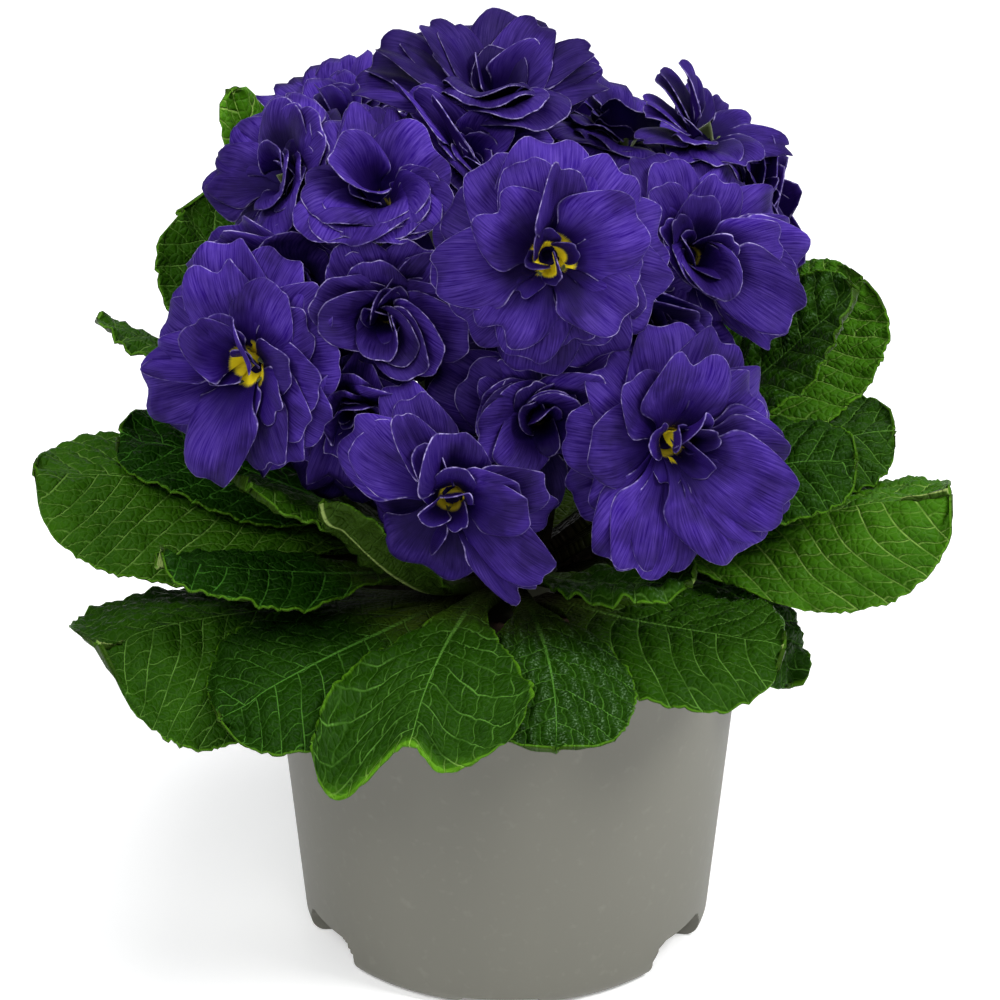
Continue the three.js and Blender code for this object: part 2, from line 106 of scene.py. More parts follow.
def makePiece(name, bm, material, replaced=(), shade=True):
    for face in bm.faces:
        face.smooth = shade
    mesh = addMesh(name, bm)
    if "skin" in mesh.attributes:
        mesh.attributes.remove(mesh.attributes["skin"])
    piece = addObject(name, mesh)
    mesh.materials.append(material)
    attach(piece, "root")
    if replaced:
        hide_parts(*replaced)
    return piece


# A grid rolled into a tube round a path: place(turn, along) gives each point, turn from 0 to 1.
def addTube(bm, sides, steps, place):
    grid = bmesh.ops.create_grid(bm, x_segments=sides, y_segments=steps, size=0.5)["verts"]
    for vert in grid:
        vert.co = place(vert.co.x + 0.5, vert.co.y + 0.5) * mm
    bmesh.ops.remove_doubles(bm, verts=grid, dist=0.00001)


# A second skin under every sheet in the bmesh. Each new vertex is then put straight behind its own, because the
# operator's even thickness runs away where a sheet folds sharply.
def thicken(bm, thickness, layers):
    skin = bm.verts.layers.float_vector.new("skin")
    bm.normal_update()
    for vert in bm.verts:
        vert[skin] = vert.co - vert.normal * thickness
    upper = set(bm.verts)
    bmesh.ops.solidify(bm, geom=bm.faces, thickness=0.000001)
    lower = [vert for vert in bm.verts if vert not in upper]
    for vert in lower:
        vert.co = vert[skin]
        vert[layers["underside"]] = 1
    return lower


def bezier(a, b, c, d, t):
    s = 1 - t
    return a * s ** 3 + b * 3 * s * s * t + c * 3 * s * t * t + d * t ** 3


def between(path, t):  # a share t of the way along a list of points
    t *= len(path) - 1
    i = min(int(t), len(path) - 2)
    return [lerp(p, q, t - i) for p, q in zip(path[i], path[i + 1])]


def ring(r, turn, z=0):  # turn from 0 to 1 is once round
    return Vector((r * math.cos(turn * math.tau), r * math.sin(turn * math.tau), z))


stage = {  # metres and degrees
    "lens": 152.5, "cameraAt": (-0.00146, -0.81856, 0.49054), "cameraTilt": 64.5, "aim": (0, 0, 0.12),
    "worldColour": "#f4f6ff", "worldStrength": 0.2, "floorSize": 6, "floorColour": "#f7f7f7", "floorGlow": 0.24,
}
lamps = {  # where each softbox stands, its size (m) and its power (W)
    "key": {"at": (0.85, -0.4, 1.05), "size": 0.45, "power": 17},
    "left": {"at": (-0.75, -0.6, 1.1), "size": 0.45, "power": 9},
    "front": {"at": (-0.2, -1.2, 1.1), "size": 0.5, "power": 6},
    "overhead": {"at": (0.0, -0.1, 1.5), "size": 0.8, "power": 8},
    "back": {"at": (0.2, 1.1, 0.8), "size": 0.9, "power": 4},
}


def makeStage():
    camera = addObject("camera", bpy.data.cameras.new("camera"))
    camera.data.sensor_width = 36
    camera.data.lens = stage["lens"]
    camera.location = stage["cameraAt"]
    camera.rotation_euler = (math.radians(stage["cameraTilt"]), 0, 0)
    bpy.context.scene.camera = camera

    for name, lamp in lamps.items():
        light = bpy.data.lights.new(name, "AREA")
        light.size = lamp["size"]
        light.energy = lamp["power"]
        softbox = addObject(name, light)
        softbox.location = lamp["at"]
        aim = Vector(stage["aim"]) - Vector(lamp["at"])
        softbox.rotation_euler = aim.to_track_quat("-Z", "Y").to_euler()

    bpy.context.scene.view_settings.view_transform = "Standard"
    world = bpy.data.worlds.new("studio")
    bpy.context.scene.world = world
    world.use_nodes = True
    setInputs(world.node_tree, world.node_tree.nodes["Background"],
              {"Color": stage["worldColour"], "Strength": stage["worldStrength"]})

    bm = bmesh.new()
    bmesh.ops.create_grid(bm, x_segments=1, y_segments=1, size=stage["floorSize"])
    floor = addObject("floor", addMesh("floor", bm))
    material, tree, surface = newMaterial("paleFloor")
    setInputs(tree, surface, {"Base Color": stage["floorColour"], "Emission Color": "#ffffff",
                              "Emission Strength": stage["floorGlow"], "Roughness": 0.9})
    floor.data.materials.append(material)


pot = {
    "height": 82, "rimRadius": 52.2, "footRadius": 44.5, "wall": 1.4, "floor": 1.6,
    "corner": 4, "lipHeight": 5, "lipOut": 0.9, "turns": 360,
    "drains": 6, "firstDrain": -62, "drainRing": 24, "drainRadius": 3, "slotWidth": 6, "slotFoot": 3, "slotTop": 6,
}
# Where the foot steps in: halfway round each recess (degrees), its wall's radius and its height (mm)
potRecesses = [{"angle": angle, "radius": 37.4, "height": 8} for angle in (-151, -32, 28, 148)]
potRecesses += [{"angle": angle, "radius": 39.8, "height": 2.2} for angle in (-92, 88)]
recessHalf = 12.6  # degrees


def potWall(z):
    return lerp(pot["footRadius"], pot["rimRadius"], z / pot["height"])


def potProfile():  # from the middle of the underside, up the outside, over the lip and down the inside
    top, wall, inner, corner = pot["height"], pot["wall"], pot["floor"], pot["corner"]
    points = [(0, 0), (20, 0), (34, 0)]
    for i in range(9):
        a = math.radians(lerp(-90, 0, i / 8))
        points.append((potWall(corner) - corner + corner * math.cos(a), corner * (1 + math.sin(a))))
    points += [(potWall(z), z) for z in (5, 6, 6.8, 7.2, 7.6, 8, 8.4, 10, 14, 20, 30, 45, 60)]
    foot = top - pot["lipHeight"]
    out = potWall(foot) + pot["lipOut"]
    points += [(potWall(foot) - 0.02, foot - 0.5), (potWall(foot) + 0.1, foot), (out - 0.15, foot + 0.5),
               (out, foot + 0.9), (out + 0.35, top - 0.7), (out + 0.2, top - 0.2), (out - 0.3, top),
               (potWall(top) - 1, top), (potWall(top) - wall, top - 0.4)]
    points += [(potWall(z) - wall, z) for z in (78, 70, 50, 30, 20, 14, 11, 9.6, 9.2, 8, 6, 5, 4)]
    points += [(potWall(inner + 2) - wall - 0.9, inner + 1), (potWall(inner) - wall - 2.6, inner)]
    return points + [(20, inner), (0, inner)]


def shapeRecesses(vert):
    r = math.hypot(vert.co.x, vert.co.y) / mm
    z = vert.co.z / mm
    inside = z > pot["floor"] - 0.01 and r < potWall(z) - pot["wall"] / 2
    for recess in potRecesses:
        turn = math.degrees(math.atan2(vert.co.y, vert.co.x)) - recess["angle"]
        off = abs((turn + 180) % 360 - 180) / recessHalf
        wall = pot["wall"] if inside else 0
        limit = recess["radius"] - wall
        top = recess["height"] * math.sqrt(max(0, 1 - off ** 6)) + wall
        if off < 1 and r > limit and z < top:  # the corners of its arch are rounded
            vert.co.x *= limit / r
            vert.co.y *= limit / r


def makePot(material):
    bm = bmesh.new()
    verts = [bm.verts.new((r * mm, 0, z * mm)) for r, z in potProfile()]
    edges = [bm.edges.new(pair) for pair in zip(verts, verts[1:])]
    bmesh.ops.spin(bm, geom=verts + edges, axis=(0, 0, 1), cent=(0, 0, 0), angle=math.tau,
                   steps=pot["turns"], use_merge=True)
    bmesh.ops.remove_doubles(bm, verts=bm.verts, dist=0.000005)
    bmesh.ops.recalc_face_normals(bm, faces=bm.faces)
    bm.normal_update()
    for vert in bm.verts:
        shapeRecesses(vert)
    cutDrains(makePiece("nurseryPot", bm, material, ["pot"]))


def cutDrains(body):  # a ring of holes through the floor, and a slot through each tall recess
    bm = bmesh.new()
    for i in range(pot["drains"]):
        a = math.radians(pot["firstDrain"] + 360 / pot["drains"] * i)
        place = Matrix.Translation((pot["drainRing"] * mm * math.cos(a), pot["drainRing"] * mm * math.sin(a), 0))
        bmesh.ops.create_cone(bm, cap_ends=True, segments=32, radius1=pot["drainRadius"] * mm,
                              radius2=pot["drainRadius"] * mm, depth=0.01, matrix=place)
    for recess in potRecesses:
        if recess["height"] > pot["slotTop"]:
            middle = (pot["slotFoot"] + pot["slotTop"]) / 2
            turn = Matrix.Rotation(math.radians(recess["angle"]), 4, "Z")
            place = turn @ Matrix.Translation((recess["radius"] * mm, 0, middle * mm))
            size = Matrix.Diagonal((0.008, pot["slotWidth"] * mm, (pot["slotTop"] - pot["slotFoot"]) * mm, 1))
            bmesh.ops.create_cube(bm, size=1, matrix=place @ size)
    cutter = addObject("drainCutter", addMesh("drainCutter", bm))
    cut = body.modifiers.new("drains", "BOOLEAN")
    cut.object = cutter
    cut.operation = "DIFFERENCE"
    bpy.context.view_layer.update()
    evaluated = body.evaluated_get(bpy.context.evaluated_depsgraph_get())
    drained = bpy.data.meshes.new_from_object(evaluated)
    body.modifiers.clear()
    drained.set_sharp_from_angle(angle=math.radians(50))
    body.data = drained
    bpy.data.objects.remove(cutter)


# Injection moulded polypropylene: even taupe grey with a satin face, faint flow marks about 26 mm across, and
# specks of dust 2 mm across
def makePotPlastic():
    material, tree, surface = newMaterial("mouldedPolypropylene")
    coords = addNode(tree, "TexCoord").outputs["Object"]
    flow = addNode(tree, "Mapping", {"Vector": coords, "Scale": (1, 1, 0.25)})
    cloud = addNode(tree, "TexNoise", {"Vector": flow, "Scale": 38, "Detail": 5})
    dust = addNode(tree, "TexNoise", {"Vector": coords, "Scale": 420, "Detail": 3})
    tone = addNode(tree, "Mix", {"Factor": cloud, "A": "#5a594f", "B": "#646359"}, data_type="RGBA")
    spots = addNode(tree, "MapRange", [dust, 0.6, 0.78, 0, 0.1])
    dusty = addNode(tree, "Mix", {"Factor": spots, "A": tone, "B": "#96938a"}, data_type="RGBA")
    rough = addNode(tree, "MapRange", [cloud, 0, 1, 0.42, 0.62])
    grain = addNode(tree, "Bump", {"Strength": 0.12, "Distance": 0.0002, "Height": dust})
    setInputs(tree, surface, {"Base Color": dusty, "Roughness": rough, "Normal": grain, "IOR": 1.49})
    return material


soil = {"level": 74, "radius": 49.4, "above": 1.6, "heave": 0.9, "crumbs": 900, "smallest": 0.5, "largest": 2.2}


def makeSoilTop(material):
    random = Random(3)
    bm = bmesh.new()
    bmesh.ops.create_circle(bm, cap_ends=True, segments=72, radius=soil["radius"] * mm)
    bmesh.ops.poke(bm, faces=bm.faces)
    bmesh.ops.subdivide_edges(bm, edges=bm.edges, cuts=7, use_grid_fill=True)
    bmesh.ops.triangulate(bm, faces=bm.faces)
    for vert in bm.verts:
        heave = soil["heave"] * noise.fractal(vert.co * 140, 0.9, 2.1, 4)
        vert.co.z = (soil["level"] + soil["above"] + heave) * mm
    bmesh.ops.solidify(bm, geom=bm.faces, thickness=0.0012)
    for i in range(soil["crumbs"]):
        turn = random.random()
        r = soil["radius"] * 0.985 * math.sqrt(random.uniform(0.05, 1))
        size = lerp(soil["smallest"], soil["largest"], random.random() ** 3)
        at = ring(r, turn, soil["level"] + 2 + size * 0.2)
        spin = Matrix.Rotation(random.random() * 6, 4, "X") @ Matrix.Rotation(random.random() * 6, 4, "Y")
        squash = Matrix.Diagonal((1, random.uniform(0.5, 1), random.uniform(0.35, 0.8), 1))
        place = Matrix.Translation(at * mm) @ spin @ squash
        bmesh.ops.create_icosphere(bm, subdivisions=1, radius=size * mm, matrix=place)
    makePiece("soilCrumbs", bm, material, shade=False)


# Moist peat and bark: near black brown lumps about 4 mm across, with paler specks of fibre and perlite
def makePottingSoil():
    material, tree, surface = newMaterial("moistPeat")
    coords = addNode(tree, "TexCoord").outputs["Object"]
    lumps = addNode(tree, "TexNoise", {"Vector": coords, "Scale": 260, "Detail": 6})
    grit = addNode(tree, "TexVoronoi", {"Vector": coords, "Scale": 700})
    tone = addNode(tree, "Mix", {"Factor": lumps, "A": "#150d08", "B": "#4a3422"}, data_type="RGBA")
    pale = addNode(tree, "MapRange", [grit, 0.12, 0.05, 0, 0.35])
    specked = addNode(tree, "Mix", {"Factor": pale, "A": tone, "B": "#8a735a"}, data_type="RGBA")
    bump = addNode(tree, "Bump", {"Strength": 0.8, "Distance": 0.0006, "Height": lumps})
    setInputs(tree, surface, {"Base Color": specked, "Normal": bump, "Roughness": 0.92})
    return material


leafShape = {
    "rootRadius": 7, "thickness": 0.5, "petiole": 2.6, "veinSpacing": 6.2, "cellLength": 3.6,
    "pucker": 1.35, "toothPitch": 2.4, "toothDepth": 0.55, "fineGrid": (46, 86), "grid": (30, 56),
}
leafMarks = ("margin", "underside", "stem", "rib", "downAndSheen", "tone")
usualLeaf = {
    "roll": 0, "broadest": 0.63, "blunt": 0.42, "wave": 1.1, "curl": (-1.2, -1.2), "lobes": ((0, 1), (0, 1)),
    "tone": 0.4, "downAndSheen": 0.05, "fine": False,
}
# Each leaf leaves the crown at height root, passes mid halfway along and ends at tip (mm). roll turns the blade
# about its midrib, and fold drops both halves like a roof (degrees). A leaf may say how far along it is broadest,
# how blunt it ends, how its margins wave and curl (mm), how light it is (painted light and shade), how downy it
# is, with a painted highlight on its ridges, and whether it is fine, with smaller faces. The one with a notch
# hangs in two lobes: how far each drops (mm) and how soon.
leaves = {
    "left_long": dict(root=82, mid=(-50, -6, 102.5), tip=(-99, -12, 114), width=49, roll=-17, fold=18, tone=0.42,
                      fine=True),
    "left_low": dict(root=79, mid=(-48, -27, 88.5), tip=(-84, -47, 91), width=58, roll=-12, fold=25, blunt=0.8,
                     broadest=0.72, tone=0.25, fine=True),
    "front_left": dict(root=81.5, mid=(-32, -42, 87.5), tip=(-58.5, -61, 80.5), width=38, roll=-12, fold=4,
                       tone=0.06, fine=True),
    "front": dict(root=83.5, mid=(-12, -50, 93), tip=(-20, -78, 83), width=42, fold=4, notch=0.015,
                  lobes=((3, 0.36), (9.5, 0.8)), tone=0.14, fine=True),
    "front_right": dict(root=83.5, mid=(8, -47, 89), tip=(10, -74, 81), width=34, fold=6, downAndSheen=1, tone=0.1,
                        fine=True),
    "right_front": dict(root=80.5, mid=(28, -32, 88), tip=(57, -44, 89), width=44, roll=9, fold=9, tone=0.2,
                        fine=True),
    "right_hanging": dict(root=78, mid=(44, -11, 86), tip=(61.5, -21, 66.5), width=27, fold=0, wave=2, tone=0.1),
    "right_long": dict(root=82.5, mid=(48, -10, 98), tip=(92, -18, 112), width=45, roll=18, fold=32, blunt=0.2,
                       broadest=0.76, tone=0.7, fine=True),
    "right_mid": dict(root=85, mid=(46, 8, 104), tip=(83, 10, 113), width=38, roll=12, fold=5, tone=0.2, downAndSheen=0.35,
                      fine=True),
    "right_inner": dict(root=86.5, mid=(41, -10, 109), tip=(73, -14, 117), width=31, roll=26, fold=4, tone=0.12,
                        downAndSheen=0.3, fine=True),
    "right_folded": dict(root=89.5, mid=(45, 2, 121), tip=(72, 1, 149), width=28, roll=18, fold=-12, tone=0.2,
                         downAndSheen=0.8, fine=True),
    "right_tall": dict(root=87.3, mid=(50, 22, 116), tip=(76.5, 32, 138.5), width=41, roll=18, fold=4, broadest=0.58,
                       tone=0.7, fine=True),
    "left_upper": dict(root=84.5, mid=(-46, -2, 105), tip=(-82, 0, 117), width=34, roll=-10, fold=5, tone=0),
    "left_shaded": dict(root=85, mid=(-41, -31, 99), tip=(-71, -44, 108), width=27, roll=-12, fold=14, tone=0,
                        curl=(2.5, -2), fine=True),
    "left_edge_on": dict(root=87, mid=(-50, 6, 119), tip=(-86, 12, 139), width=30, roll=24, fold=5, wave=0.7),
    "left_upright": dict(root=89.5, mid=(-41, 20, 122), tip=(-69, 27, 156), width=40, roll=-20, fold=8, tone=0.3),
    "left_back_tall": dict(root=88.5, mid=(-34, 42, 121), tip=(-59, 54, 173.5), width=21, fold=5, tone=0.9),
    "left_curled": dict(root=88.5, mid=(-32, -17, 104.5), tip=(-52, -39, 123), width=28, fold=6),
    "left_young": dict(root=86, mid=(-20, -36, 100.5), tip=(-36.5, -45, 121.5), width=17, roll=12, fold=-15,
                       tone=0.2),
    "right_young": dict(root=87.5, mid=(17, -32, 97), tip=(37, -50, 107), width=20, roll=10, fold=-10, downAndSheen=0.6,
                        tone=0.2),
    "inner_tall": dict(root=91, mid=(10.5, -6, 136), tip=(11, -18, 181), width=12, fold=5),
    "rear_right": dict(root=84, mid=(38, 32, 99), tip=(70, 58, 112), width=44, fold=10),
    "rear_right_low": dict(root=80, mid=(24, 46, 88), tip=(42, 80, 90), width=42, fold=12),
    "rear": dict(root=85, mid=(2, 46, 99), tip=(4, 88, 106), width=44, fold=12),
    "rear_left_low": dict(root=80, mid=(-20, 46, 88), tip=(-38, 82, 88), width=42, fold=12),
    "rear_left": dict(root=85, mid=(-36, 34, 98), tip=(-68, 64, 108), width=44, fold=10),
    "left_rear_low": dict(root=80, mid=(-48, 18, 88), tip=(-90, 34, 92), width=44, fold=12),
}


class LeafForm:  # the blade's middle surface, from across -1 to 1 and along 0 to 1
    def __init__(self, leaf, seed):
        self.leaf = leaf
        self.seed = seed
        self.mid = Vector(leaf["mid"])
        self.tip = Vector(leaf["tip"])
        self.root = Vector((self.mid.x, self.mid.y, 0)).normalized() * leafShape["rootRadius"]
        self.root.z = leaf["root"]
        self.control = self.mid * 2 - (self.root + self.tip) / 2
        span = self.tip - self.root
        self.level = Vector((span.y, -span.x, 0)).normalized()
        self.length = (self.mid - self.root).length + (self.tip - self.mid).length

    def outline(self, along):  # from a winged stalk to its broadest, then a rounded tip
        if "notch" in self.leaf:
            return lerp(0.11, 1, smooth(along, 0.15, 0.92))
        broadest = self.leaf["broadest"]
        if along < broadest:
            return lerp(0.11, 1, smooth(along, 0.15, broadest))
        power = 2 + 1.6 * self.leaf["blunt"]
        return max(0.07, (1 - ((along - broadest) / (1 - broadest)) ** power) ** (1 / power))

    def halfWidth(self, along):
        return self.leaf["width"] / 2 * self.outline(along)

    def veins(self, side, s, t):  # pattern coordinates: whole numbers are side veins and cross veins
        warp = Vector((s / 14, t / 14, self.seed * 3.7 + (side > 0)))
        forward = 0.5 * abs(t) + 0.012 * t * t
        vein = (s - forward) / leafShape["veinSpacing"] + 0.5 * (side > 0) + 0.42 * noise.noise(warp)
        cross = abs(t) / leafShape["cellLength"] + 0.35 * noise.noise(warp * 2 + Vector((5, 1, 7)))
        return vein, cross + 0.1 * math.sin(math.tau * vein)

    def relief(self, across, along):  # the blade swells up between its veins, and wrinkles finely
        s, t = along * self.length, across * self.halfWidth(along)
        vein, cross = self.veins(across, s, t)
        cross += math.floor(vein) * 0.618
        fold = smooth(abs(t), 0.3, 2.6)
        a, b = abs(2 * (vein % 1) - 1), abs(2 * (cross % 1) - 1)
        dome = (1 - a ** 2) * lerp(0.35, 1, 1 - b ** 2)
        rough = 0.25 * noise.noise(Vector((s / 2.1, t / 2.1, self.seed)))
        rough += 0.4 * noise.noise(Vector((s / 4.5, t / 4.5, self.seed + 9)))
        height = leafShape["pucker"] * smooth(along, 0.2, 0.45) * smooth(along, 1, 0.93)
        return height * (fold * (dome + rough) - 0.5)

    def point(self, across, along):
        leaf = self.leaf
        half = self.halfWidth(along) * abs(across)
        if "notch" in leaf:
            corner = 0.24 * abs(across) ** 2.8 if across < 0 else 0.14 * across ** 5
            cut = corner + leaf["notch"] * math.exp(-((across + 0.05) / 0.3) ** 2)
            along *= 1 - cut * smooth(along, 0.3, 1)
        s = 1 - along
        middle = self.root * s * s + self.control * 2 * s * along + self.tip * along * along
        tangent = ((self.control - self.root) * s + (self.tip - self.control) * along).normalized()
        spread = smooth(along, 0.2, 0.75)
        sign = (across > 0) - (across < 0)
        side = (self.level - tangent * tangent.dot(self.level)).normalized()
        side = Matrix.Rotation(math.radians((leaf["roll"] + sign * leaf["fold"]) * spread), 3, tangent) @ side
        up = side.cross(tangent).normalized()
        ripple = leaf["wave"] * spread * across ** 2 * math.sin(9 * along + 2.1 * across + leaf["width"])
        lobe, reach = leaf["lobes"][0 if across < 0 else 1]
        hang = lobe * smooth(abs(across), 0, reach) * smooth(along, 0.55, 1)
        teeth = self.teeth(across, along)
        edge = max(smooth(abs(across), 0.55, 1), smooth(along, 0.8, 1))
        crumple = noise.noise(Vector((along * 9, across * 2.2, self.seed * 5.1)))
        point = middle + side * (half + teeth * smooth(abs(across), 0.9, 1)) * sign
        point += tangent * (hang * 0.7 + teeth * smooth(along, 0.94, 1)) - worldUp * hang
        curl = leaf["curl"][0 if across < 0 else 1] * edge
        point += up * (ripple + self.relief(across, along) + spread * (2.6 * crumple * edge + curl))
        return point

    def teeth(self, across, along):  # small rounded teeth of uneven depth round the margin
        run = along * self.length + abs(across) * self.halfWidth(along) * smooth(along, 0.9, 1)
        wobble = noise.noise(Vector((run / 5, across, self.seed)))
        wave = abs(math.sin(math.pi * run / leafShape["toothPitch"] + 2 * wobble))
        tip = 1 if "notch" in self.leaf else smooth(along, 1.0, 0.985)
        return leafShape["toothDepth"] * smooth(along, 0.3, 0.5) * tip * (wave * (1 + wobble) - 0.4)


def makeLeaf(name, leaf, seed, material):
    form = LeafForm(leaf, seed)
    columns, rows = leafShape["fineGrid" if leaf["fine"] else "grid"]
    bm = bmesh.new()
    veinMap = bm.loops.layers.uv.new("veins")
    bladeMap = bm.loops.layers.uv.new("blade")
    layers = {key: bm.verts.layers.float.new(key) for key in leafMarks}
    place = {}
    for vert in bmesh.ops.create_grid(bm, x_segments=columns, y_segments=rows, size=1)["verts"]:
        across, along = vert.co.x, (vert.co.y + 1) / 2
        along = lerp(along, math.sin(along * math.pi / 2), 0.4)  # rows crowd towards the rounded tip
        place[vert] = (across, along)
        vert[layers["stem"]] = smooth(along, 0.5, 0.12)
        vert[layers["rib"]] = lerp(0.8, 0.14, smooth(along, 0.05, 0.85))
        vert[layers["downAndSheen"]] = leaf["downAndSheen"]
        lip = math.exp(-((1 - along) * form.length / 2.2) ** 2) * smooth(across, -0.9, -0.3) if "notch" in leaf else 0
        lip *= smooth(across, 0.95, 0.6)
        edge = min((1 - abs(across)) * form.halfWidth(along), (1 - along) * form.length)
        vert[layers["margin"]] = edge - 1.6 * lip
        # tone is painted light and shade: lit leaves are given a lighter green, shaded ones a darker; the notch's lip
        # is lighter
        vert[layers["tone"]] = leaf["tone"] + 0.9 * lip
        vert.co = form.point(across, along) * mm
    for face in bm.faces:
        side = sum(place[v][0] for v in face.verts)
        for loop in face.loops:
            across, along = place[loop.vert]
            s, t = along * form.length, across * form.halfWidth(along)
            loop[veinMap].uv = form.veins(side, s, t)
            loop[bladeMap].uv = (s, t)
    bmesh.ops.recalc_face_normals(bm, faces=bm.faces)
    bm.normal_update()
    if sum(face.normal.z for face in bm.faces) < 0:
        bmesh.ops.reverse_faces(bm, faces=bm.faces)
    lower = thicken(bm, leafShape["thickness"] * mm, layers)
    bm.normal_update()
    addMidrib(bm, form, lower)
    makePiece("blade_" + name, bm, material, ["leaf_" + name])


def addMidrib(bm, form, lower):  # the midrib and the stalk stand out from the underside
    blade = bm.loops.layers.uv["blade"]
    for vert in lower:
        s, t = vert.link_loops[0][blade].uv
        thick = lerp(leafShape["petiole"], 0.3, smooth(s / form.length, 0.1, 0.9))
        vert.co += vert.normal * math.exp(-(t / (0.5 + thick)) ** 2) * thick * mm


# Primrose leaf: a waxy blade, puckered between sunken veins, so that it glints in many small places; matt below
def makeLeafSkin():
    material, tree, surface = newMaterial("primroseLeaf")
    coords = addNode(tree, "TexCoord").outputs["Object"]
    veinMap = addNode(tree, "UVMap", uv_map="veins")
    bladeMap = addNode(tree, "UVMap", uv_map="blade")
    veins = addNode(tree, "SeparateXYZ", {"Vector": veinMap})
    blade = addNode(tree, "SeparateXYZ", {"Vector": bladeMap})
    margin, underside, stem, rib, downAndSheen, tone = [
        addNode(tree, "Attribute", attribute_name=key).outputs["Fac"] for key in leafMarks]

    # how far each spot is from a side vein, a cross vein and the midrib
    toSide = addNode(tree, "Math", [veins.outputs["X"], 0.5], operation="PINGPONG")
    row = addNode(tree, "Math", [veins.outputs["X"]], operation="FLOOR")
    shifted = addNode(tree, "Math", [row, 0.618, veins.outputs["Y"]], operation="MULTIPLY_ADD")
    toCross = addNode(tree, "Math", [shifted, 0.5], operation="PINGPONG")
    acrossBlade = addNode(tree, "Math", [blade.outputs["Y"]], operation="ABSOLUTE")
    toMidrib = addNode(tree, "Math", [acrossBlade, rib], operation="DIVIDE")
    # the finest veins enclose cells about 1.6 mm across
    net = addNode(tree, "TexVoronoi", {"Vector": bladeMap, "Scale": 1 / 1.6}, feature="DISTANCE_TO_EDGE",
                  voronoi_dimensions="2D")
    mottle = addNode(tree, "TexNoise", {"Vector": bladeMap, "Scale": 0.09, "Detail": 5})
    fade = addNode(tree, "TexNoise", {"Vector": bladeMap, "Scale": 0.16, "Detail": 1})
    grain = addNode(tree, "TexNoise", {"Vector": bladeMap, "Scale": 2.2, "Detail": 3})
    spacing, cell = leafShape["veinSpacing"], leafShape["cellLength"]
    side = addNode(tree, "MapRange", [toSide, 0.34 / spacing, 0.1 / spacing])
    cross = addNode(tree, "MapRange", [toCross, 0.26 / cell, 0.06 / cell, 0, 0.7])
    clear = addNode(tree, "MapRange", [fade, 0.38, 0.6, 0.3])
    lines = addNode(tree, "Math", [side, cross], operation="MAXIMUM")
    sunken = addNode(tree, "Math", [lines, clear], operation="MULTIPLY")
    midrib = addNode(tree, "MapRange", [toMidrib, 1.15, 0.5])
    finest = addNode(tree, "MapRange", [net, 0.1, 0.02, 0, 0.1])
    strong = addNode(tree, "Math", [sunken, midrib], operation="MAXIMUM")
    allVeins = addNode(tree, "Math", [strong, finest], operation="MAXIMUM")
    # fine pale down on the ridges of the youngest leaves, painted paler as a painted highlight where the ridges catch
    # the light
    downy = addNode(tree, "MapRange", [grain, 0.5, 0.66])
    ridge = addNode(tree, "MapRange", [toCross, 0.2, 0.45, 0, 0.7])
    raised = addNode(tree, "Math", [downy, ridge], operation="MULTIPLY")
    down = addNode(tree, "Math", [raised, downAndSheen], operation="MULTIPLY")
    edge = addNode(tree, "MapRange", [margin, 0.45, 0.1, 0, 0.42])
    turned = addNode(tree, "Math", [underside, 0.85], operation="MULTIPLY")
    # petioles are dull olive, and near black down in the crown: painted shade under the blooms and leaves
    place = addNode(tree, "VectorMath", [coords, (1, 1, 0)], operation="MULTIPLY")
    toCrown = addNode(tree, "VectorMath", [place], operation="LENGTH")
    crownGradient = addNode(tree, "MapRange", [toCrown, 0.038, 0.012], interpolation_type="SMOOTHSTEP")
    # dark and light are the same green painted in shade and in light; each leaf's tone mixes them as painted light
    # and shade
    dark, light, pale, beneath, petiole = [
        addNode(tree, "Mix", {"Factor": share, "A": low, "B": high}, data_type="RGBA") for share, low, high in (
            (mottle, "#051800", "#0f2e01"), (mottle, "#1f4a04", "#487c12"), (tone, "#386a20", "#84a64c"),
            (midrib, "#26390d", "#7d8c50"), (crownGradient, "#3e4d14", "#120e07"))]
    skin = dark  # each colour then goes over the ones before it, as far as its mask shows it
    for mask, colour in ((tone, light), (allVeins, pale), (down, "#5d7a54"), (edge, "#5d921c"), (turned, beneath),
                         (stem, petiole)):
        skin = addNode(tree, "Mix", {"Factor": mask, "A": skin, "B": colour}, data_type="RGBA")
    # rounded swellings between the veins, and finer ones between the finest
    dome = addNode(tree, "Math", [net, 0.3], operation="MINIMUM")
    carved = addNode(tree, "Math", [sunken, -0.9, dome], operation="MULTIPLY_ADD")
    height = addNode(tree, "Math", [grain, 0.2, carved], operation="MULTIPLY_ADD")
    bump = addNode(tree, "Bump", {"Strength": 0.9, "Distance": 0.0007, "Height": height})
    setInputs(tree, surface, {"Base Color": skin, "Normal": bump, "Roughness": 0.38, "Specular IOR Level": 0.04,
                              "IOR": 1.42})
    return material


bloomShape = {
    "tubeLength": 6.5, "tubeRadius": 2.1, "eyeRadius": 3.4, "thickness": 0.22, "overlap": 5, "recurve": 30,
    "claw": 78, "seat": 1.5, "innerLength": 11.5, "spineSteps": 28, "fineGrid": (20, 16), "grid": (12, 9),
}
petalMarks = ("margin", "underside", "throat", "tone", "gold")
# From the outermost whorl: its petals, their reach and width against the bloom's radius, how far they lean up
# from flat and how far their tips curl back (degrees), and how far up the tube they grow (mm)
whorls = [
    {"count": 6, "reach": 0.98, "width": 0.95, "tilt": -14, "curl": 22, "rise": -1.2},
    {"count": 5, "reach": 1.03, "width": 1.05, "tilt": 6, "curl": 22, "rise": -0.6},
    {"count": 5, "reach": 0.92, "width": 0.95, "tilt": 20, "curl": 26, "rise": 0},
    {"count": 5, "reach": 0.74, "width": 0.8, "tilt": 38, "curl": 30, "rise": 0.4},
    {"count": 4, "reach": 0.5, "width": 0.52, "tilt": 58, "curl": 20, "rise": 0.8},
    {"count": 3, "reach": 0.3, "width": 0.34, "tilt": 76, "curl": 10, "rise": 1.0},
]
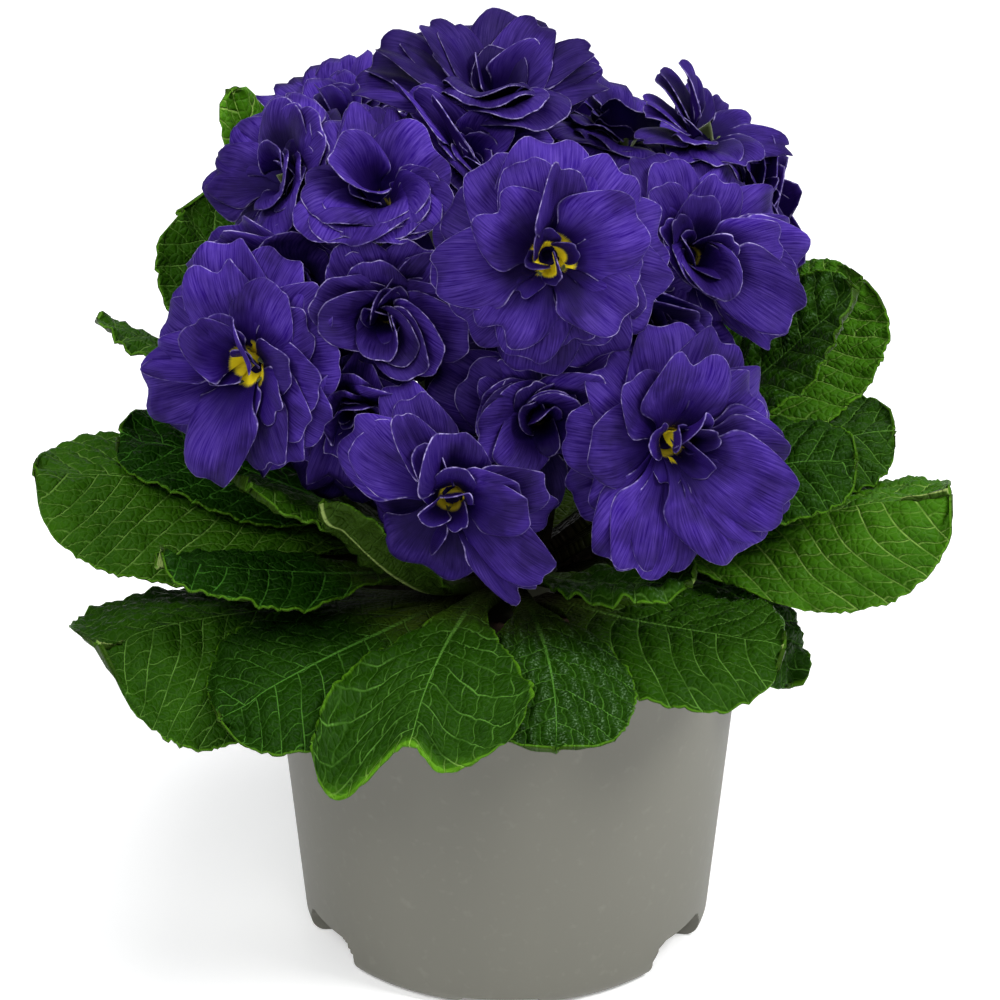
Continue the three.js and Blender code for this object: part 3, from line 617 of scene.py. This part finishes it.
# The nearest blooms have their petals one by one, from the outermost: where each points as the bloom is faced
# (degrees, 0 is right and 90 up), its length and width (mm), how far it leans up, then its notch and its fold.
centrePetals = [
    (90, 24.5, 21, 2), (50, 24, 18, 0), (10, 25, 21, -4), (-24, 26, 22, -4), (-62, 25, 20, -6), (-98, 25.5, 19, -6),
    (-140, 23, 19, -4), (180, 24.5, 20, -2), (152, 23, 17, 2), (124, 23.5, 18, 4), (-42, 22, 20, 4),
    (-104, 21.5, 16, 8), (-72, 18.5, 14, 12), (-124, 20, 18, 14, 0.17), (-38, 20.5, 17, 16, 0.03, -30),
    (188, 24, 17, 10), (104, 21, 15, 16), (-8, 19.5, 13, 20, 0.02), (82, 20, 14, 24, 0.03, 60),
    (136, 18.5, 18, 30, 0.18), (26, 22, 20, 24, 0.04), (100, 9, 7, 62, 0.05, 30), (-60, 7.5, 7, 70, 0.1, 60),
    (-130, 9.5, 6, 36), (190, 7, 5, 74, 0, 50), (20, 8, 6, 60),
]
leftPetals = [
    (-96, 26.5, 19, 30), (-158, 26, 19, 20),
    (-95, 26, 22, -8), (-60, 24, 20, -6), (-25, 24, 19, -6), (10, 24, 18, -6), (45, 25, 18, -4), (78, 26, 19, -4),
    (110, 27, 19, 0), (145, 26, 20, -4), (180, 25, 20, -6), (-150, 26, 20, -6), (0, 21, 16, 8), (-28, 21, 15, 10),
    (38, 21, 16, 10), (-126, 27, 24, 8, 0.05), (-62, 23, 18, 12, 0.08), (112, 24, 20, 14, 0.12), (68, 22, 16, 16),
    (160, 22, 18, 16), (184, 22, 14, 26, 0.02, 70), (15, 16, 13, 28), (92, 15, 15, 44, 0.05, -40),
    (132, 16, 13, 48, 0.03, 50), (-30, 15, 12, 30, 0.1), (-80, 14, 10, 34), (-160, 9, 7, 55, 0.1, 40), (60, 9, 7, 66),
]
rightLowPetals = [
    (-126, 29, 18, 10), (-114, 29.5, 19, 16), (-102, 28, 18, 20), (-66, 28.5, 19, 34), (-44, 29, 19, 36),
    (-33, 29, 20, 38), (-19, 26, 19, 18),
    (88, 25, 20, -6), (52, 25, 19, -6), (15, 26, 20, -4), (-20, 26, 20, -6), (-52, 25, 20, -8), (-85, 25, 20, -8),
    (-120, 24, 19, -6), (-155, 24, 19, -4), (168, 24, 18, -4), (128, 24, 18, -4), (-62, 23, 18, 2), (-35, 24, 18, 4),
    (-140, 22, 17, 6), (-100, 23, 24, 10, 0.03), (-18, 24, 22, 12, 0.06), (26, 22, 20, 14, 0.08), (170, 20, 19, 14),
    (120, 20, 14, 20), (78, 22.5, 21, 22, 0.15), (60, 13, 9, 58, 0, 60), (20, 12, 8, 62, 0.05, -60),
    (-40, 11, 8, 60, 0, 50), (150, 11, 8, 56), (-110, 9, 7, 50), (100, 10, 6, 70, 0, 70),
]
frontLowPetals = [
    (150, 26.5, 18, 0), (144, 23, 17, 6), (120, 26.5, 13, -14), (114, 22.5, 13, -6), (-165, 19.5, 18, -23),
    (-140, 20, 18, -23), (-111, 20.5, 22, -6, 0.06), (-96, 20, 18, -15), (-64, 20.5, 20, -19),
    (-54, 27, 12, 6, 0.1, -50), (-36, 26.5, 15, 16), (-18, 22.5, 14, -15), (16, 22, 13, 18), (3, 19, 14, 33),
    (13, 17, 15, 30, 0.03), (-64, 15, 18, -23, 0.05), (36, 9, 9, 34, 0.02), (88, 17, 17, 24, 0.05, 50),
    (119, 21, 10, 12, 0, 60), (114, 15, 9, 30, 0, 60), (101, 12, 8, 33, 0, -60), (-113, 12, 9, 4, 0.02, 60),
    (180, 19, 17, -23),
    (40, 8.5, 7, 66, 0, 40), (128, 9, 7, 60), (-60, 7.5, 7, 62, 0.05), (200, 8.5, 8, 64, 0, -50), (75, 12, 10, 50),
]
rightPetals = [
    (102, 25.5, 15, -8), (120, 25.5, 17, -18), (76, 25, 16, -14), (46, 24, 17, -11), (20, 26, 19, -4),
    (6, 26, 13, 1), (-11, 27, 21, 8), (-42, 27, 18, 41), (-53, 27, 15, 14), (-62, 22.5, 22, -26),
    (-53, 25.5, 16, -15), (-44, 24, 16, 1), (215, 23, 20, -4), (240, 22, 20, -6), (180, 22, 20, -2),
    (-30, 24, 21, 15), (96, 22.5, 14, 0), (60, 19.5, 13.5, 14), (6, 20.5, 14, 34), (-15, 20, 15, 11),
    (110, 18, 12, 18), (84, 15.5, 12, 36), (24, 13, 9.5, 72), (-161, 11, 15, 48), (-103, 17, 20, 71),
    (-128, 14.5, 19, 64), (123, 13, 10, 26), (119, 13.5, 7, 50), (132, 12.5, 7.5, 42),
    (127, 9, 8, 62, 0.03, 60), (-48, 11, 10, 77, 0.02, -40),
]
upperLeftPetals = [
    (97, 25, 20, 8), (108, 24, 18, 14), (124, 25, 18, 10),
    (133, 22.5, 18, -5),
    (156, 23, 20, -13), (122, 22, 17, 15), (100, 24, 21, 15, 0.08), (84, 24, 16, 7), (69, 22, 16, 7),
    (37, 23, 18, -5), (47, 21.5, 20, -18), (-128, 23.5, 19, 32), (-104, 24, 22, 36), (-80, 21, 24, 36),
    (-56, 22.5, 22, 37), (-36, 23, 20, 36), (-134, 20.5, 22, 42), (-96, 20, 24, 40), (-68, 19, 23, 40),
    (-42, 18.5, 20, 36), (-100, 16.5, 25, 47, 0.02), (-60, 18, 24, 47, 0.02), (-23, 17.5, 18, 40),
    (-155, 18.5, 20, 41), (170, 18, 20, 69), (86, 18, 13.5, 18), (36, 20, 25, 32, 0.07),
    (117, 14, 15, -4, 0.02), (-155, 12.5, 13, 44, 0.1), (101, 12, 8, -2, 0.02, 70), (94, 12, 8, -5, 0, 50),
    (-24, 9, 10, 51), (-160, 9, 9, 65),
]
shadedPetals = [
    (-78, 20, 20, -12),
    (-66, 24.5, 20, -24), (-22, 22, 18, 57), (63, 22, 16, 32),
    (150, 21, 18, 54), (-125, 19.5, 19, -24), (-46, 21, 18, 64), (0, 23.5, 16, 42), (76, 20, 13, 33),
    (110, 22, 16, 38), (168, 21, 18, 65), (16, 21, 17, 40), (-5, 19, 16, 44), (47, 21, 15, 33),
    (-45, 22, 20, -8), (-140, 22, 20, -10), (153, 17, 16, 45), (-88, 18, 14, 81), (-34, 18.5, 16, 73),
    (121, 20, 14, 41), (91, 18.5, 13, 40), (64, 18, 8, 37, 0, 50), (35, 15.5, 12, 39), (142, 16, 15, 61),
    (-167, 17, 14, 65), (97, 18.5, 15, 49, 0.03), (122, 14, 12, 60), (21, 16, 12, 38), (-130, 11.5, 14, 82),
    (-25, 13, 13, 78), (84, 12, 10, 64, 0.03, 60), (65, 13, 7, 60, 0, 40), (137, 10, 9, 80, 0, -50),
    (-54, 7.5, 9, 82, 0.05, 50),
]
middlePetals = [
    (156, 28, 20, 10), (155, 23.5, 20, -18),
    (168, 27.5, 20, -2), (-174, 25, 20, -24),
    (148, 23, 20, 27), (30, 22.5, 20, 43), (-101, 24, 18, -12), (-88, 24, 13, -6), (-75, 22, 18, -17),
    (-179, 21.5, 18, 50), (-31, 20.5, 19, -25), (60, 23, 20, -4), (100, 22, 20, -4), (130, 23, 20, -2),
    (20, 22, 20, -6), (177, 20, 22, 48), (-145, 20.5, 15, 58), (-66, 18, 18, -9, 0.03), (-37, 19, 19, -26),
    (166, 18, 20, 40), (19, 17, 20, 62), (134, 20, 16, 33), (24, 18.5, 18, 42), (155, 16.5, 18, 49),
    (24, 15, 21, 60), (-70, 12, 8, 75, 0), (132, 16.5, 9, 45), (109, 14.5, 12, 56), (58, 14.5, 12, 53),
    (143, 12, 10, 72), (57, 11, 9, 76, 0.02, 50), (98, 7.5, 8, 68, 0, -60),
]
topPetals = [
    (170, 31, 19, 11), (156, 29.5, 18, 16), (17, 26, 8.5, 19, 0), (7, 26.5, 13, 16, 0.1), (17, 26, 9, 32, 0.04),
    (-66, 24, 21, 34), (-81, 23.5, 19, 43), (-108, 23, 22, 49), (126, 25, 20, -20), (25, 23, 15, 0),
    (35, 24, 12, 11), (154, 29, 17, 28), (142, 24.5, 15, 32), (44, 23, 15, 22), (-115, 21, 22, 56, 0.02),
    (126, 20, 20, 4), (66, 20.5, 18, -24), (134, 24, 13, 44, 0.06), (124, 20.5, 12, 49), (99, 20, 9, 39, 0),
    (83, 20, 12, 38), (66, 23, 21, 40, 0.05), (47, 22, 14, 43), (30, 16.5, 13, 44, 0.03, 50),
    (150, 23.5, 16, 28), (65, 13.5, 14, 60, 0.04), (132, 14, 14, 48), (99, 11, 12, 45, 0, 60),
    (142, 18, 12, 48),
]
leftHighPetals = [
    (126, 22, 18, -25), (128, 20, 18, -5),
    (43, 22, 18, 42), (21, 21, 18, 39),
    (-169, 22.5, 15, 15), (-156, 23, 17, -13), (-149, 24.5, 17, -26), (-176, 26.5, 12, 2, 0.1),
    (-35, 24, 18, 44), (-180, 23, 25, 8, 0.03), (-169, 21, 20, -12), (170, 22, 18, 10), (148, 22, 20, 9),
    (138, 21, 22, 2), (78, 20, 18, 48), (65, 20, 15, 46), (-24, 17.5, 18, 64), (-179, 18.5, 16, -13),
    (-12, 16.5, 16, 52), (19, 11.5, 12, 75), (73, 13, 12, 77, 0.04), (51, 12, 10, 55), (10, 9, 10, 68, 0, 50),
    (52, 17.5, 14, 44), (15, 17, 14, 44),
]
backLeftPetals = [
    (158, 23, 18, -5),
    (-6, 23, 18, 13), (3, 23, 18, 3),
    (-116, 24, 16, 23), (-127, 24, 17, 32), (-145, 24, 17, 32), (-158, 25, 17, 29), (-169, 25, 16, 31),
    (178, 24.5, 16, 32), (168, 26, 16, 24), (-121, 20, 16, 26), (-152, 21.5, 20, 12), (-174, 23.5, 20, 4),
    (161, 23, 20, 0), (-141, 17, 16, 43), (-165, 17, 15, 42), (170, 18, 15, 36), (-138, 15, 16, 35),
    (-178, 14.5, 16, 29), (-161, 10, 12, 72), (156, 11, 12, 64), (-141, 10.5, 10, 82, 0, 50),
]
backRightPetals = [
    (-55, 22, 18, 26),
    (-1, 19, 15, 37), (-20, 20.5, 15, 30), (156, 19, 14, 44), (15, 21.5, 18, 20), (-46, 19.5, 14, 8),
    (150, 21.5, 18, -4), (162, 19, 18, 9), (116, 19, 18, -3), (22, 21.5, 18, 0), (6, 16, 14, 26),
    (-18, 15.5, 14, 27), (113, 14, 14, 18), (144, 16.5, 16, 7), (-32, 14.5, 14, 12), (109, 9, 11, 44, 0, 50),
    (135, 9, 10, 43), (107, 9, 10, 22),
]
openingPetals = [
    (-8, 24, 8, -8, 0.1), (-6, 22, 8, -18, 0.05), (11, 16.5, 10, 3, 0.1), (-79, 18, 12, 32, 0.1),
    (-101, 16, 12, 34), (43, 18, 5, 2, 0), (138, 20, 8.5, 77, 0), (65, 16, 8, 13, 0), (135, 18.5, 9, 61, 0),
    (139, 17.5, 10, 56, 0), (159, 17.5, 9, 44, 0.04), (170, 17, 9, 42), (-139, 13, 10, 46), (20, 14, 9, 0),
    (-173, 19, 9, 26, 0.1), (-144, 13.5, 10, 27, 0.1), (112, 14.5, 7, 77), (159, 10, 8, 64),
]
usualBloom = {"cup": 0.2, "shade": 0, "gold": 0.15, "fine": False, "petals": ()}
# eye is the middle of the bloom, and facing its azimuth and elevation. shade darkens its petals as painted shade,
# gold spreads the yellow of its throat, a fine bloom has smaller faces, and cup closes the whorls of one without
# petals of its own, from 0 to 1.
blooms = {
    "centre": dict(eye=(8, -43, 174), facing=(-90, 14), radius=24, fine=True, gold=1, petals=centrePetals),
    "left": dict(eye=(-51, -32, 146), facing=(-125, 5), radius=26, fine=True, gold=1, petals=leftPetals),
    "right_low": dict(eye=(32, -43, 134), facing=(-68, 5), radius=25, fine=True, gold=0.8, petals=rightLowPetals),
    "front_low": dict(eye=(-11, -52.5, 126.5), facing=(-98, 0), radius=23, shade=0.35, fine=True, gold=0.5,
                      petals=frontLowPetals),
    "middle": dict(eye=(6, -35, 136.5), facing=(-85, 4), radius=25, shade=0.5, fine=True, petals=middlePetals),
    "right": dict(eye=(37, -10, 160.5), facing=(-68, 18), radius=27, fine=True, petals=rightPetals),
    "upper_left": dict(eye=(-25.5, -15, 173.5), facing=(-98, 60), radius=25, fine=True, petals=upperLeftPetals),
    "top": dict(eye=(-3, 10, 184), facing=(-82, 72), radius=26, shade=0.8, fine=True, petals=topPetals),
    "shaded": dict(eye=(-24, -27, 155), facing=(-98, 8), radius=24, shade=0.5, fine=True, petals=shadedPetals),
    "left_high": dict(eye=(-43, 1, 172), facing=(-135, 32), radius=25, fine=True, petals=leftHighPetals),
    "back_left": dict(eye=(-34, 30, 172), facing=(170, 68), radius=25, petals=backLeftPetals),
    "back_right": dict(eye=(23, 30, 170), facing=(20, 62), radius=22, petals=backRightPetals),
    "opening": dict(eye=(40, 12, 177), facing=(-62, 66), radius=21, fine=True, petals=openingPetals),
    "right_edge": dict(eye=(50, 18, 158), facing=(0, 8), radius=17),
    "inner": dict(eye=(-8, -3, 176), facing=(-80, 55), radius=24, cup=0.35),
    "left_deep": dict(eye=(-39, -11, 155), facing=(-115, 5), radius=29, cup=0.1),
    "left_inner": dict(eye=(-31, -28, 137), facing=(-105, -4), radius=27, cup=0.1),
    "right_deep": dict(eye=(26, -13, 150), facing=(-80, 5), radius=31, cup=0),
    "rear": dict(eye=(16, 54, 152), facing=(78, 16), radius=24, cup=0.1),
    "rear_left": dict(eye=(-20, 56, 147), facing=(110, 10), radius=23),
    "rear_right": dict(eye=(44, 44, 150), facing=(42, 12), radius=23),
}


def bloomPetals(bloom, random):  # one dictionary for each petal, whorl by whorl
    petals = []
    for angle, length, width, tilt, *extra in bloom["petals"]:
        notch = extra[0] if extra else random.uniform(0.01, 0.07)
        fold = extra[1] if len(extra) > 1 else 0
        petals.append({
            "angle": angle, "length": length, "width": width, "tilt": tilt, "fold": fold,
            "notch": notch, "curl": random.uniform(17, 27), "rise": lerp(-1.2, 1.0, tilt / 50),
            "seed": random.random() * 50,
        })
    for whorl in () if petals else whorls:
        start = random.random() * 360
        for k in range(whorl["count"]):
            petals.append({
                "angle": start + 360 / whorl["count"] * (k + random.uniform(-0.2, 0.2)),
                "length": bloom["radius"] * whorl["reach"] * random.uniform(0.88, 1.05),
                "width": bloom["radius"] * whorl["width"] * random.uniform(0.88, 1.12),
                "tilt": whorl["tilt"] + bloom["cup"] * 40 + random.uniform(-8, 8),
                "curl": whorl["curl"] * random.uniform(0.6, 1.4),
                "rise": whorl["rise"],
                "notch": random.uniform(0.02, 0.1),
                "fold": random.choice((0, 0, 0, 25, -25, 40)),
                "seed": random.random() * 50,
            })
    return petals


def petalSpine(petal):  # how far out and up the petal's middle line has come, in small steps from its claw
    steps = bloomShape["spineSteps"]
    out, up = 0, 0
    spine = [(0, 0, math.radians(bloomShape["claw"]))]
    for i in range(steps):
        t = (i + 0.5) / steps
        claw = (bloomShape["claw"] - petal["tilt"]) * (1 - smooth(t, 0, 0.3))
        curl = petal["curl"] * smooth(t, 0.45, 1.1) + bloomShape["recurve"] * smooth(t, 0.68, 1.1)
        a = math.radians(petal["tilt"] + claw - curl)
        out += petal["length"] / steps * math.cos(a)
        up += petal["length"] / steps * math.sin(a)
        spine.append((out, up, a))
    return spine


def petalPoint(petal, spine, across, along):  # out from the bloom's axis, sideways and up along the axis
    seed, width = petal["seed"], petal["width"]
    size = abs(across)
    reach = 1 - 0.42 * size ** 2.8 - petal["notch"] * math.exp(-(across / 0.22) ** 2)
    reach += (0.007 * math.sin(7 * across + seed) + 0.005 * math.sin(17 * across + 2 * seed)) * (1 - size ** 4)
    out, up, a = between(spine, along * lerp(1, reach, smooth(along, 0.05, 0.9)))
    sideways = width / 2 * lerp(0.2, 1, smooth(along, -0.1, 0.95)) * (1.14 * across - 0.14 * across ** 3)
    # a valley runs down the middle, each lobe swells, and the margin ruffles
    lift = along * width * (0.16 * size ** 1.2 - 0.2 * smooth(size, 0.45, 1.1) * smooth(along, 0.3, 1))
    ruffle = noise.noise(Vector((across * 1.3 + seed, along * 1.3, seed))) * 1.6
    ruffle += noise.noise(Vector((across * 4.2 + seed, along * 2, seed * 2))) * 0.4
    lift += ruffle * along ** 1.5 * width / 22
    lift += 1.1 * across * along  # each petal lies over its neighbour on one side and under it on the other
    if petal["fold"] * across > 0:  # one half may stand up from the midline
        turn = math.radians(abs(petal["fold"])) * smooth(along, 0.1, 0.5)
        sideways, lift = sideways * math.cos(turn), lift + abs(sideways) * math.sin(turn)
    out = bloomShape["eyeRadius"] * 0.55 + out - lift * math.sin(a)
    up = up + petal["rise"] + lift * math.cos(a)
    bend = max(0, math.sin(a)) / max(out, 3)  # a petal that stands up wraps round the bloom's axis
    if bend > 0.001:
        return out - (1 - math.cos(sideways * bend)) / bend, math.sin(sideways * bend) / bend, up
    return out, sideways, up


# Petals that pass the plane between two blooms give way: back towards the eye where the other bloom lies in
# front, and forwards over it where it lies behind.
def pressTogether(points, name):
    bloom = blooms[name]
    eye, facing = np.array(bloom["eye"], float), np.array(direction(*bloom["facing"]))
    for step in range(3):
        for other, rival in blooms.items():
            if other == name:
                continue
            away = np.array(rival["eye"], float) - eye
            gap = np.linalg.norm(away)
            away /= gap
            behind = max(0, -away @ facing)
            reach = gap * bloom["radius"] / (bloom["radius"] + rival["radius"]) + bloomShape["overlap"]
            depth = (points - eye) @ away
            deepest = depth.max()
            if deepest <= reach:
                continue
            excess = np.clip(depth, 0, None) * (1 - reach / deepest)
            points -= np.outer(excess, away)
            if step == 0:
                points += np.outer(excess * (0.25 + 0.6 * behind), facing)


def makeBloom(name, bloom, seed, material):
    random = Random(seed)
    facing = direction(*bloom["facing"])
    eye = Vector(bloom["eye"])
    up = (worldUp - facing * facing.z).normalized() if abs(facing.z) < 0.99 else Vector((0, 1, 0))
    right = up.cross(facing)
    columns, rows = bloomShape["fineGrid" if bloom["fine"] else "grid"]
    bm = bmesh.new()
    petalMap = bm.loops.layers.uv.new("petal")
    layers = {key: bm.verts.layers.float.new(key) for key in petalMarks}
    place = {}
    for petal in bloomPetals(bloom, random):
        tone = random.random() if petal["length"] > bloomShape["innerLength"] else random.uniform(1, 1.5)
        # painted shade: the petals of a bloom that lies in shade are darkened
        tone -= bloom["shade"]
        gold = bloom["gold"] * random.uniform(0.4, 1.2)
        spine = petalSpine(petal)
        a = math.radians(petal["angle"])
        outward = right * math.cos(a) + up * math.sin(a)
        sideways = up * math.cos(a) - right * math.sin(a)
        for vert in bmesh.ops.create_grid(bm, x_segments=columns, y_segments=rows, size=1)["verts"]:
            across, along = -vert.co.x, (vert.co.y + 1) / 2  # mirrored: the grid's front is the petal's face
            x, y, z = petalPoint(petal, spine, across, along)
            width = petal["width"] / 2 * smooth(along, 0, 0.7)
            place[vert] = (across * 0.5 + petal["seed"], along)
            inside = (1 - abs(across)) * width + 6 * max(0, 0.4 - along)
            vert[layers["margin"]] = min((1 - along) * petal["length"], inside)
            vert[layers["throat"]] = along * petal["length"]
            vert[layers["tone"]] = tone
            vert[layers["gold"]] = gold
            vert.co = eye + facing * (z - bloomShape["seat"]) + outward * x + sideways * y
    coords = np.array([vert.co for vert in bm.verts])
    pressTogether(coords, name)
    for vert, point in zip(bm.verts, coords):
        vert.co = Vector(point) * mm
    for face in bm.faces:
        for loop in face.loops:
            loop[petalMap].uv = place[loop.vert]
    thicken(bm, bloomShape["thickness"] * mm, layers)
    addCorollaTube(bm, eye, facing, layers)
    makePiece("corolla_" + name, bm, material, ["bloom_" + name])


def addCorollaTube(bm, eye, facing, layers):
    radius, length = bloomShape["tubeRadius"], bloomShape["tubeLength"]
    before = set(bm.verts)
    turn = facing.to_track_quat("Z", "Y").to_matrix()
    profile = [(0, -length), (radius * 0.9, -length), (radius, -length * 0.6), (radius * 1.1, -2.5),
               (bloomShape["eyeRadius"] * 0.75, -0.6), (bloomShape["eyeRadius"] * 0.55, 0.2), (0, -4.5)]

    def place(around, along):
        r, z = between(profile, along)
        return eye + turn @ ring(r, around, z)

    addTube(bm, 12, 12, place)
    for vert in bm.verts:
        if vert not in before:
            vert[layers["margin"]], vert[layers["throat"]] = 5, 5


# Primrose petal: a velvety blue violet face of tiny domed cells, with fine paler rays, a thin broken silver rim
# and a yellow throat
def makePetalVelvet():
    material, tree, surface = newMaterial("primrosePetal")
    petalMap = addNode(tree, "UVMap", uv_map="petal")
    coords = addNode(tree, "TexCoord").outputs["Object"]
    margin, underside, throat, tone, gold = [
        addNode(tree, "Attribute", attribute_name=key).outputs["Fac"] for key in petalMarks]

    # rays about 0.4 mm apart at the margin, closer together towards the throat
    fan = addNode(tree, "Mapping", {"Vector": petalMap, "Scale": (58, 3.2, 1)})
    rays = addNode(tree, "TexNoise", {"Vector": fan, "Scale": 1, "Detail": 4, "Roughness": 0.6})
    cloud = addNode(tree, "TexNoise", {"Vector": coords, "Scale": 90, "Detail": 3})
    speck = addNode(tree, "TexNoise", {"Vector": coords, "Scale": 700, "Detail": 2})
    patch = addNode(tree, "MapRange", [cloud, 0.35, 0.65])
    violet = addNode(tree, "Mix", {"Factor": patch, "A": "#130240", "B": "#24066e"}, data_type="RGBA")
    pale = addNode(tree, "MapRange", [rays, 0.34, 0.7, 0, 0.74])
    outer = addNode(tree, "MapRange", [throat, 4, 16])
    blotch = addNode(tree, "MapRange", [cloud, 0.36, 0.6, 0.4, 1.1])
    grown = addNode(tree, "Math", [blotch, outer], operation="MULTIPLY")
    ray = addNode(tree, "Math", [pale, grown], operation="MULTIPLY")
    rayed = addNode(tree, "Mix", {"Factor": ray, "A": violet, "B": "#573f9c"}, data_type="RGBA")
    # each petal's tone is a random brightness of its own, lowered by the bloom's painted shade
    varied = addNode(tree, "MapRange", [tone, -0.5, 1, 0.35, 1.08])
    skin = addNode(tree, "VectorMath", {0: rayed, "Scale": varied}, operation="SCALE")
    # the face darkens to near black violet towards the throat: painted shade where the petals crowd into the eye
    throatShade = addNode(tree, "MapRange", [throat, 16, 2, 0, 0.95])
    ragged = addNode(tree, "Math", [rays, -1.8, throat], operation="MULTIPLY_ADD")
    within = addNode(tree, "Math", [gold, -4.5, ragged], operation="MULTIPLY_ADD")
    yellow = addNode(tree, "MapRange", [within, 0.5, -0.4])
    shown = addNode(tree, "MapRange", [gold, 0, 0.8, 0.3])
    eye = addNode(tree, "Math", [yellow, shown], operation="MULTIPLY")
    edge = addNode(tree, "MapRange", [margin, 0.2, 0.05])
    broken = addNode(tree, "MapRange", [speck, 0.44, 0.62, 0.14, 0.85])
    worn = addNode(tree, "MapRange", [cloud, 0.4, 0.55, 0.3])
    dotted = addNode(tree, "Math", [broken, worn], operation="MULTIPLY")
    rim = addNode(tree, "Math", [edge, dotted], operation="MULTIPLY")
    for mask, colour in ((throatShade, "#0a0228"), (underside, "#241058"), (eye, "#e0cc20"), (rim, "#9f93c6")):
        skin = addNode(tree, "Mix", {"Factor": mask, "A": skin, "B": colour}, data_type="RGBA")
    bump = addNode(tree, "Bump", {"Strength": 0.4, "Distance": 0.0003, "Height": rays})
    setInputs(tree, surface, {"Base Color": skin, "Normal": bump, "Roughness": 0.6, "Specular IOR Level": 0.06,
                              "Sheen Weight": 0.02, "Sheen Roughness": 0.45, "Sheen Tint": "#7a50e0"})
    return material


stalk = {
    "radius": 1.6, "calyxRadius": 3.1, "air": 0.3, "teeth": 5, "toothLength": 3.2,
    "crownTop": 93, "crownBottom": 66, "crownRadius": 11,
}


def addStalk(bm, bloom):
    facing = direction(*bloom["facing"])
    mouth = Vector(bloom["eye"]) - facing * (bloomShape["tubeLength"] + stalk["air"])
    outward = Vector((mouth.x, mouth.y, 0))
    foot = outward.normalized() * min(5.5, outward.length * 0.15) + worldUp * (stalk["crownTop"] - 4)
    length = (mouth - foot).length
    handles = (foot, foot + outward.normalized() * length * 0.1 + worldUp * length * 0.4,
               mouth - facing * length * 0.33, mouth)

    def place(around, along):
        at = bezier(*handles, along)
        ahead = bezier(*handles, min(along + 0.01, 1)) - bezier(*handles, max(along - 0.01, 0))
        turn = ahead.to_track_quat("Z", "Y").to_matrix()
        ends = 0 if along in (0, 1) else 1
        r = ends * stalk["radius"] * (1 + 0.06 * math.sin(along * 40 + length))
        return at + turn @ ring(r, around)

    addTube(bm, 10, 22, place)
    addCalyx(bm, mouth, facing)


def addCalyx(bm, mouth, facing):  # five ribs that end in pointed teeth, holding the bloom's tube
    turn = facing.to_track_quat("Z", "Y").to_matrix()
    profile = [(0, -2.2), (1.6, -2.0), (2.2, -0.5), (2.9, 1.5), (stalk["calyxRadius"], 4), (3.3, 6.5), (3.6, 8.5),
               (3.2, 8.3), (2.9, 6.5), (2.6, 4), (2.3, 1.5), (0, 1)]

    def place(around, along):
        r, z = between(profile, along)
        tooth = abs((around * stalk["teeth"]) % 1 - 0.5) * 2
        rib = 1 + 0.1 * (1 - tooth)
        z += stalk["toothLength"] * (1 - tooth) ** 1.3 * smooth(z, 5, 8) - 1.5 * smooth(z, 5, 8)
        return mouth + turn @ ring(r * rib, around, z)

    addTube(bm, 30, 22, place)


def makeStalks(material):
    bm = bmesh.new()
    for bloom in blooms.values():
        addStalk(bm, bloom)

    def place(around, along):
        r = stalk["crownRadius"] * (math.sin(math.pi * along) ** 0.35 if 0 < along < 1 else 0)
        at = ring(r, around, lerp(stalk["crownBottom"], stalk["crownTop"] + 1, along))
        return at + (Vector((at.x, at.y, 0)) * 0.12 * noise.noise(at * 0.25) if 0 < along < 1 else Vector())

    addTube(bm, 48, 24, place)
    bmesh.ops.recalc_face_normals(bm, faces=bm.faces)
    makePiece("stalksAndCrown", bm, material, ["crown_and_stalks"])


# Soft green stalk: pale green, darkening to near black brown towards the crown, with a short down that scatters light
def makeStalkSkin():
    material, tree, surface = newMaterial("downyStalk")
    coords = addNode(tree, "TexCoord").outputs["Object"]
    place = addNode(tree, "SeparateXYZ", {"Vector": coords})
    mottle = addNode(tree, "TexNoise", {"Vector": coords, "Scale": 300, "Detail": 3})
    crownGradient = addNode(tree, "MapRange", [place.outputs["Z"], 0.1, 0.15])
    tone = addNode(tree, "Mix", {"Factor": crownGradient, "A": "#1c120a", "B": "#4a5a20"}, data_type="RGBA")
    mottled = addNode(tree, "Mix", {"Factor": mottle, "A": tone, "B": "#2c3412"}, data_type="RGBA")
    bump = addNode(tree, "Bump", {"Strength": 0.4, "Distance": 0.0002, "Height": mottle})
    setInputs(tree, surface, {"Base Color": mottled, "Normal": bump, "Roughness": 0.55, "Sheen Weight": 0.3})
    return material


makeStage()
print("stage ready")

makePot(makePotPlastic())
print("pot ready")

peat = makePottingSoil()
makeSoilTop(peat)
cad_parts["soil"].data.materials.clear()
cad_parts["soil"].data.materials.append(peat)
print("soil ready")

leafSkin = makeLeafSkin()
for number, (name, leaf) in enumerate(leaves.items()):
    makeLeaf(name, {**usualLeaf, **leaf}, number + 1, leafSkin)
print("leaves ready")

petalVelvet = makePetalVelvet()
for number, (name, bloom) in enumerate(blooms.items()):
    makeBloom(name, {**usualBloom, **bloom}, number + 20, petalVelvet)
print("blooms ready")

makeStalks(makeStalkSkin())
print("stalks ready")
